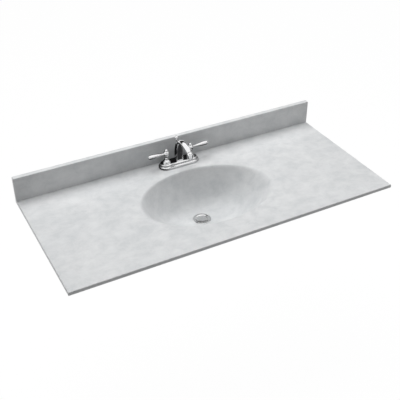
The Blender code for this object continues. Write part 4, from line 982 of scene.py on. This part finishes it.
class SINKTOP_OT_drain(bpy.types.Operator):
    """Model the drain flange with its pop-up stopper"""

    bl_idname = "sinktop.drain"
    bl_label = "Drain"

    def execute(self, context):
        low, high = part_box("drain_flange")
        floor = high.z - 0.0009
        bottom = floor - 0.0052
        outline = [(0.0188, bottom), (0.0318, bottom, 0.0003), (0.0318, floor + 0.0001, 0.0004)]
        outline += [(0.0302, high.z, 0.0012), (0.0272, high.z, 0.0014), (0.0252, floor - 0.0008, 0.0010)]
        outline += [(0.0242, floor - 0.0024, 0.0010), (0.0226, floor - 0.0033, 0.0012)]
        outline += [(0.0162, floor - 0.0046, 0.0010), (0.0162, low.z)]
        outline = rounded(outline, 5) + [(0.0172, low.z)]
        outline += thread(0.0188, 0.0005, low.z + 0.001, bottom - 0.001, 0.0016) + [(0.0180, bottom)]
        outline = closed(outline)
        lathe("flange_ring", outline, TURN_STEPS, AT_DRAIN, "top", "drain_flange", "worn_chrome")
        low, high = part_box("stopper")
        rim = high.z - 0.0008
        under = rim - 0.0015
        hub = under - 0.0095
        outline = [(0, high.z), (0.0060, high.z - 0.00005, 0.003), (0.0150, high.z - 0.0003, 0.004)]
        outline += [(0.0200, rim, 0.0015), (0.0215, rim - 0.0006, 0.0004), (0.0208, under + 0.0004, 0.0004)]
        outline += [(0.0172, under, 0.0006), (0.0085, under, 0.0003), (0.0085, hub, 0.0012), (0, hub)]
        cap = turned("stopper_cap", rounded(outline, 5), TURN_STEPS, AT_DRAIN)
        across = 0.0115
        middle = Vector((0, DRAIN_Y, (low.z + hub + 0.002) / 2))
        post = block("stopper_post", middle, (across, 0.0036, hub + 0.002 - low.z))
        bevel(post, 0.0008)
        eye_place = at(0, DRAIN_Y, low.z + across / 2) @ ALONG_Y
        drill(post, "post_eye", disc(0.0034, -0.01, 0.01), SCREW_STEPS, eye_place)
        boolean(cap, post, "UNION")
        dress(cap, "stopper", "stopper", finish="worn_chrome")
        low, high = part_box("stopper_seal")
        outline = [(0.0088, low.z), (0.0150, low.z, 0.0004), (0.0156, (low.z + high.z) / 2, 0.0006)]
        outline = closed(rounded(outline + [(0.0150, high.z, 0.0004), (0.0088, high.z)]))
        lathe("stopper_ring", outline, WASHER_STEPS, AT_DRAIN, "stopper", "stopper_seal")
        return {"FINISHED"}


def make_nut(name, node, across, bore, place):
    """A hexagon nut with chamfered corners, made at the origin and then set in its place."""
    low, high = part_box(node)
    corner, flat = across / sqrt(3), across / 2
    deselect()
    bpy.ops.mesh.primitive_cylinder_add(vertices=6, radius=corner, depth=high.z - low.z)
    nut = settle(bpy.context.object, at(0, 0, (low.z + high.z) / 2))
    nut.name = name
    past, inset = corner + 0.0004, flat - 0.0002
    outline = [(0, low.z - 0.001), (flat - 0.0006, low.z - 0.001), (inset, low.z), (past, low.z + 0.0022)]
    outline += [(past, high.z - 0.0022), (inset, high.z), (flat - 0.0006, high.z + 0.001)]
    boolean(nut, turned("nut_shell", outline + [(0, high.z + 0.001)], TURN_STEPS), "INTERSECT")
    drill(nut, "nut_bore", disc(bore, -1, 1), WASHER_STEPS)
    settle(nut, place)
    dress(nut, "top", node)


class SINKTOP_OT_waste(bpy.types.Operator):
    """Model the drain body, its clamp rings, the pivot and the tailpiece"""

    bl_idname = "sinktop.waste"
    bl_label = "Waste"

    def execute(self, context):
        low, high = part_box("drain_gasket")
        outline = [(WASTE_BORE, low.z), (0.0268, low.z, 0.0006)]
        outline += [(0.0320, low.z + (high.z - low.z) * 0.4, 0.0010), (0.0320, high.z, 0.0006)]
        outline = closed(rounded(outline + [(WASTE_BORE, high.z)]))
        lathe("mack_gasket", outline, WASHER_STEPS, AT_DRAIN, "top", "drain_gasket")
        low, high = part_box("drain_washer")
        outline = washer(WASTE_BORE, 0.0310, low.z, high.z, 0.0005)
        lathe("friction_washer", outline, WASHER_STEPS, AT_DRAIN, "top", "drain_washer")
        make_nut("drain_nut", "drain_locknut", 0.054, WASTE_BORE, AT_DRAIN)
        self.make_body(context.scene.faucet_settings.thread_pitch)
        low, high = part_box("tailpiece")
        outline = [(0.0145, low.z), (0.0159, low.z, 0.0004), (0.0159, high.z - 0.0165, 0.0004)]
        outline = closed(rounded(outline + [(0.0159, high.z), (0.0145, high.z)]))
        lathe("tail_tube", outline, 80, AT_DRAIN, "top", "tailpiece")
        self.make_pivot()
        return {"FINISHED"}

    def make_body(self, pitch):
        """The threaded drain body with the port that holds the pivot."""
        low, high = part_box("drain_body")
        boss = TOP_LOW.z
        collar = boss - 0.026
        outline = [(0.0150, low.z), (0.0196, low.z, 0.0006), (0.0196, collar - 0.003, 0.0004)]
        outline = rounded(outline + [(0.0203, collar - 0.0008, 0.0003), (0.0205, collar)])
        outline += thread(0.0213, 0.0009, collar + 0.0004, boss - 0.0002, pitch)
        outline = [(0, low.z)] + outline + [(0.0213, boss), (0.0213, high.z), (0, high.z)]
        body = turned("drain_barrel", outline, TURN_STEPS, AT_DRAIN)
        port_place = AT_DRAIN @ at(0, 0, middle_of("pivot_seat").z) @ ALONG_Y
        port = [(0, 0.004), (0.0105, 0.004), (0.0105, 0.0172), (0.0098, 0.0176)]
        port += thread(0.0105, 0.0006, 0.0178, 0.0326, 0.0015) + [(0.0098, 0.033), (0, 0.033)]
        boolean(body, turned("drain_port", port, WASHER_STEPS, port_place), "UNION")
        step = high.z - 0.0162
        bore = [(0, low.z - 0.01), (0.0164, low.z - 0.01), (0.0164, step), (0.0193, step)]
        bore += [(0.0193, high.z + 0.01), (0, high.z + 0.01)]
        bores = turned("drain_bore", bore, WASHER_STEPS, AT_DRAIN)
        bore = [(0, 0.0045), (0.0056, 0.0045), (0.0056, 0.0202), (0.0078, 0.0202), (0.0078, 0.05), (0, 0.05)]
        half_step = Matrix.Rotation(pi / SMALL_TURN_STEPS, 4, "Z")
        side_bore = turned("port_bore", bore, SMALL_TURN_STEPS, port_place @ half_step)
        boolean(bores, side_bore, "UNION")
        boolean(body, bores, "DIFFERENCE")
        dress(body, "top", "drain_body")

    def make_pivot(self):
        """The ball's seat and nut on the port, and the pivot rod with its ball."""
        low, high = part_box("pivot_seat")
        centre = (low + high) / 2
        port_place = AT_DRAIN @ at(0, 0, centre.z) @ ALONG_Y
        start, end = low.y - DRAIN_Y, high.y - DRAIN_Y
        outline = [(0.0058, start), (0.0075, start, 0.0003), (0.0075, end, 0.0003), (0.0046, end, 0.0003)]
        outline = rounded(outline + [(0.0058, start)])
        lathe("ball_seat", outline, SMALL_TURN_STEPS, port_place, "top", "pivot_seat")
        low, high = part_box("pivot_nut")
        start, end = low.y - DRAIN_Y, high.y - DRAIN_Y
        wall = end - 0.0024
        outline = [(0.0108, start), (0.0138, start, 0.0004), (0.0144, start + 0.0012, 0.0004)]
        outline += [(0.0144, end - 0.0020, 0.0016), (0.0122, end, 0.0008), (0.0050, end, 0.0004)]
        outline = closed(rounded(outline + [(0.0050, wall), (0.0108, wall)]))
        nut = turned("ball_nut", outline, TURN_STEPS, port_place)
        band = (DRAIN_Y + start + 0.0006, DRAIN_Y + end - 0.0012)
        flute(nut, Vector((0, DRAIN_Y, centre.z)), 0.0139, 24, 0.945, *band)
        dress(nut, "top", "pivot_nut")
        joint = next(j for j in frame["joints"] if j["name"] == "pivot_rod_turn")
        tilt = Matrix.Rotation(radians(9.1), 4, "X")
        tilted = Matrix.Translation(Vector(joint["pos_m"])) @ tilt @ ALONG_Y
        outline = rounded([(0, -0.033), (0.0024, -0.033, 0.0009), (0.0024, 0.112, 0.0009), (0, 0.112)])
        lathe("pivot_bar", outline, SCREW_STEPS, tilted, "pivot", "pivot_rod")
        edge = acos(0.0027 / PIVOT_BALL)
        outline = closed(ball(PIVOT_BALL, 0, -edge, edge, 20))
        lathe("pivot_bead", outline, SMALL_TURN_STEPS, tilted, "pivot", "pivot_ball")


class SINKTOP_OT_shanks(bpy.types.Operator):
    """Model the brass waterway with its threaded shanks, washers and nuts"""

    bl_idname = "sinktop.shanks"
    bl_label = "Shanks"

    def execute(self, context):
        pitch = context.scene.faucet_settings.thread_pitch
        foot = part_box("faucet_body")[0].z
        bar_low, bar_high = PLATE_LOW.z, PLATE_HIGH.z - 0.0025
        top = PLATE_HIGH.z + 0.0015
        outline = [(0.0055, foot), (0.0094, foot), (0.0096, foot + 0.0006)]
        outline += thread(0.0103, 0.0008, foot + 0.0010, -0.001, pitch)
        outline += [(0.0103, 0), (0.0103, bar_low), (0.0110, bar_low + 0.0003), (0.0110, top)]
        outline += [(0.0079, top), (0.0079, top - 0.0203), (0.0055, top - 0.0203)]
        shanks = [turned(f"{side}_shank", closed(outline), 72, at(x, FAUCET_Y)) for side, x in SIDES]
        waterway, other = shanks
        waterway.name = "faucet_waterway"
        boolean(waterway, other, "UNION")
        reach = HANDLE_X - 0.0094
        middle = (0, FAUCET_Y, (bar_low + bar_high) / 2)
        bar = block("cross_bar", middle, (2 * reach, 0.012, bar_high - bar_low))
        edit(bar)
        select_parts(bar, "EDGE", lambda edge: abs(edge.verts[0].co.x - edge.verts[1].co.x) > reach)
        bevel_edges(0.002, 4)
        boolean(waterway, bar, "UNION")
        dress(waterway, "top", "faucet_body")
        for side, x in SIDES:
            place = at(x, FAUCET_Y)
            low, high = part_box(f"{side}_mounting_washer")
            outline = washer(SHANK_BORE, 0.0225, low.z, high.z, 0.0006)
            node = f"{side}_mounting_washer"
            lathe(f"{side}_deck_washer", outline, WASHER_STEPS, place, "top", node)
            make_nut(f"{side}_deck_nut", f"{side}_mounting_nut", 0.032, SHANK_BORE, place)
        return {"FINISHED"}


class SINKTOP_OT_plain_finishes(bpy.types.Operator):
    """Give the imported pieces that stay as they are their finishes"""

    bl_idname = "sinktop.plain_finishes"
    bl_label = "Plain Finishes"

    def execute(self, context):
        for node, piece in NODES.items():
            material = finish_named(SLOT_OF[node])
            if piece.data.materials:
                for i in range(len(piece.data.materials)):
                    piece.data.materials[i] = material
            else:
                piece.data.materials.append(material)
        return {"FINISHED"}


# Stage


def seen_by_eye(tree):
    """1 for camera, glossy and transmission rays, 0 for the light that falls on the pieces."""
    rays = add_node(tree, "LightPath", {}).outputs
    direct = math_node(tree, "MAXIMUM", rays["Is Camera Ray"], rays["Is Glossy Ray"])
    return math_node(tree, "MAXIMUM", direct, rays["Is Transmission Ray"])


def edge_share(tree, value):
    """Falls from 1 to 0 towards the edge of a plane whose half width is 0.5."""
    fade = {"Value": math_node(tree, "ABSOLUTE", value), "From Min": 0.5, "From Max": 0.3}
    return add_node(tree, "MapRange", fade, interpolation_type="SMOOTHSTEP").outputs["Result"]


def make_floor(stage):
    """The floor keeps the soft shadow, and is nearly white where it is seen directly."""
    deselect()
    bpy.ops.mesh.primitive_plane_add(size=40, location=(0, 0, -stage.floor_drop))
    floor = bpy.context.object
    floor.name = "floor"
    material, tree, shader, place = new_material("floor_finish")
    add_mottle(tree, shader, noise(tree, place, 2.0, 4.0), stage.floor, 0.985, 0.3, 0.7)
    shader.inputs["Roughness"].default_value = 0.8
    glow = add_node(tree, "Emission", {"Color": WHITE, "Strength": 1.04}).outputs["Emission"]
    share = math_node(tree, "MULTIPLY", seen_by_eye(tree), 0.94)
    mix_shaders(tree, share, shader.outputs["BSDF"], glow, "Material Output")
    floor.data.materials.append(material)


def make_world(stage):
    """Even light all round; the eye and the shiny pieces see plain white instead."""
    world = bpy.data.worlds.new("studio")
    bpy.context.scene.world = world
    world.use_nodes = True
    tree = world.node_tree
    even = tree.nodes["Background"]
    even.inputs["Color"].default_value = WHITE
    even.inputs["Strength"].default_value = stage.ambient
    white = add_node(tree, "Background", {"Color": WHITE, "Strength": 1.0}).outputs["Background"]
    mix_shaders(tree, seen_by_eye(tree), even.outputs["Background"], white, "World Output")


def make_flags(stage):
    """Dark flags and cards round the faucet, which only the shiny pieces reflect."""
    material, tree, shader, place = new_material("flag_finish")
    add_mottle(tree, shader, noise(tree, place, 30.0, 3.0), stage.flag, 0.7, 0.3, 0.7)
    shader.inputs["Roughness"].default_value = 0.95
    parts = add_node(tree, "SeparateXYZ", {"Vector": place}).outputs
    both = math_node(tree, "MULTIPLY", edge_share(tree, parts["X"]), edge_share(tree, parts["Y"]))
    clear = add_node(tree, "BsdfTransparent", {}).outputs["BSDF"]
    mix_shaders(tree, both, clear, shader.outputs["BSDF"], "Material Output")
    low = DECK_TOP + stage.flag_lift
    flat, upright, sideways = (0, 0, 0), (pi / 2, 0, 0), (pi / 2, 0, pi / 2)
    flags = (
        ("back_flag", (1.0, 2.6, 1.7), (9.0, 3.0), upright),
        ("right_flag", (3.2, -1.0, 1.0), (5.0, 1.6), sideways),
        ("left_card", (-0.16, FAUCET_Y - 0.005, low), (0.26, 0.10), flat),
        ("right_card", (0.18, FAUCET_Y - 0.005, low), (0.26, 0.10), flat),
        ("front_card", (0.03, FAUCET_Y - 0.105, low), (0.48, 0.15), flat),
        ("rear_card", (0, (PLATE_HIGH.y + SPLASH_LOW.y) / 2, low), (0.26, 0.022), flat),
        ("splash_card", (0, SPLASH_LOW.y - 0.002, low + 0.045), (0.30, 0.088), upright),
        ("front_flag", (1.8, -2.4, 0.75), (5.0, 0.9), (pi / 2, 0, radians(35))),
        ("camera_flag", (-1.6, -2.6, 1.45), (4.6, 1.9), (pi / 2, 0, radians(-32))),
    )
    for name, location, size, turn in flags:
        deselect()
        bpy.ops.mesh.primitive_plane_add(size=1, location=location, rotation=turn)
        flag = bpy.context.object
        flag.name = name
        flag.scale = (*size, 1)
        flag.data.materials.append(material)
        flag.visible_camera = flag.visible_diffuse = flag.visible_shadow = False


def make_lamp(name, energy, size, place):
    """A soft round lamp aimed at the middle of the deck."""
    lamp = bpy.data.lights.new(name, "AREA")
    lamp.energy = energy
    lamp.shape = "DISK"
    lamp.size = size
    made = bpy.data.objects.new(name, lamp)
    away = Vector(place)
    made.location = away + Vector((0, (FRONT_Y + WALL_Y) / 2, DECK_TOP))
    made.rotation_euler = away.to_track_quat("Z", "Y").to_euler()
    made.visible_glossy = False
    bpy.context.scene.collection.objects.link(made)


class SINKTOP_OT_stage(bpy.types.Operator):
    """Set the floor, the dark flags, the lamps and the camera"""

    bl_idname = "sinktop.stage"
    bl_label = "Stage"

    def execute(self, context):
        stage = context.scene.stage_settings
        make_floor(stage)
        make_world(stage)
        make_flags(stage)
        make_lamp("key_lamp", stage.key, stage.key_size, stage.key_place)
        make_lamp("fill_lamp", stage.fill, stage.key_size, stage.fill_place)
        camera = bpy.data.objects.new("camera", bpy.data.cameras.new("camera"))
        context.scene.collection.objects.link(camera)
        camera.location = Vector((0, FRONT_Y, DECK_TOP)) + Vector(stage.camera_place)
        turn, dip = stage.camera_turn, stage.camera_dip
        look = Vector((sin(turn) * cos(dip), cos(turn) * cos(dip), -sin(dip)))
        camera.rotation_euler = look.to_track_quat("-Z", "Y").to_euler()
        camera.data.sensor_width = 36
        camera.data.lens = stage.camera_lens
        context.scene.camera = camera
        context.scene.view_settings.view_transform = "Standard"
        return {"FINISHED"}


class SINKTOP_PT_panel(bpy.types.Panel):
    """Lists the sink top's sizes and steps"""

    bl_idname = "SINKTOP_PT_panel"
    bl_label = "Sink Top"
    bl_space_type = "VIEW_3D"
    bl_region_type = "UI"
    bl_category = "Sink Top"

    def draw(self, context):
        layout = self.layout
        for title, name in GROUPS:
            layout.label(text=title)
            settings = getattr(context.scene, name)
            for key in settings.__annotations__:
                layout.prop(settings, key)
        for operator in OPERATORS:
            layout.operator(operator.bl_idname)


GROUPS = (("Cast Top", "cast_top_settings"), ("Faucet", "faucet_settings"), ("Stage", "stage_settings"))
SETTINGS = (CastTopSettings, FaucetSettings, StageSettings)
OPERATORS = (
    SINKTOP_OT_plain_finishes,
    SINKTOP_OT_cast_top,
    SINKTOP_OT_backsplash,
    SINKTOP_OT_base_plate,
    SINKTOP_OT_spout,
    SINKTOP_OT_aerator,
    SINKTOP_OT_handles,
    SINKTOP_OT_lift,
    SINKTOP_OT_drain,
    SINKTOP_OT_waste,
    SINKTOP_OT_shanks,
    SINKTOP_OT_stage,
)


def register():
    for settings in SETTINGS:
        bpy.utils.register_class(settings)
    for (_, name), settings in zip(GROUPS, SETTINGS):
        setattr(bpy.types.Scene, name, bpy.props.PointerProperty(type=settings))
    for operator in OPERATORS:
        bpy.utils.register_class(operator)
    bpy.utils.register_class(SINKTOP_PT_panel)


def unregister():
    bpy.utils.unregister_class(SINKTOP_PT_panel)
    for operator in reversed(OPERATORS):
        bpy.utils.unregister_class(operator)
    for _, name in GROUPS:
        delattr(bpy.types.Scene, name)
    for settings in reversed(SETTINGS):
        bpy.utils.unregister_class(settings)


def main():
    register()
    for operator in OPERATORS:
        step = getattr(bpy.ops.sinktop, operator.bl_idname.split(".")[1])
        step()


if __name__ == "__main__":
    main()
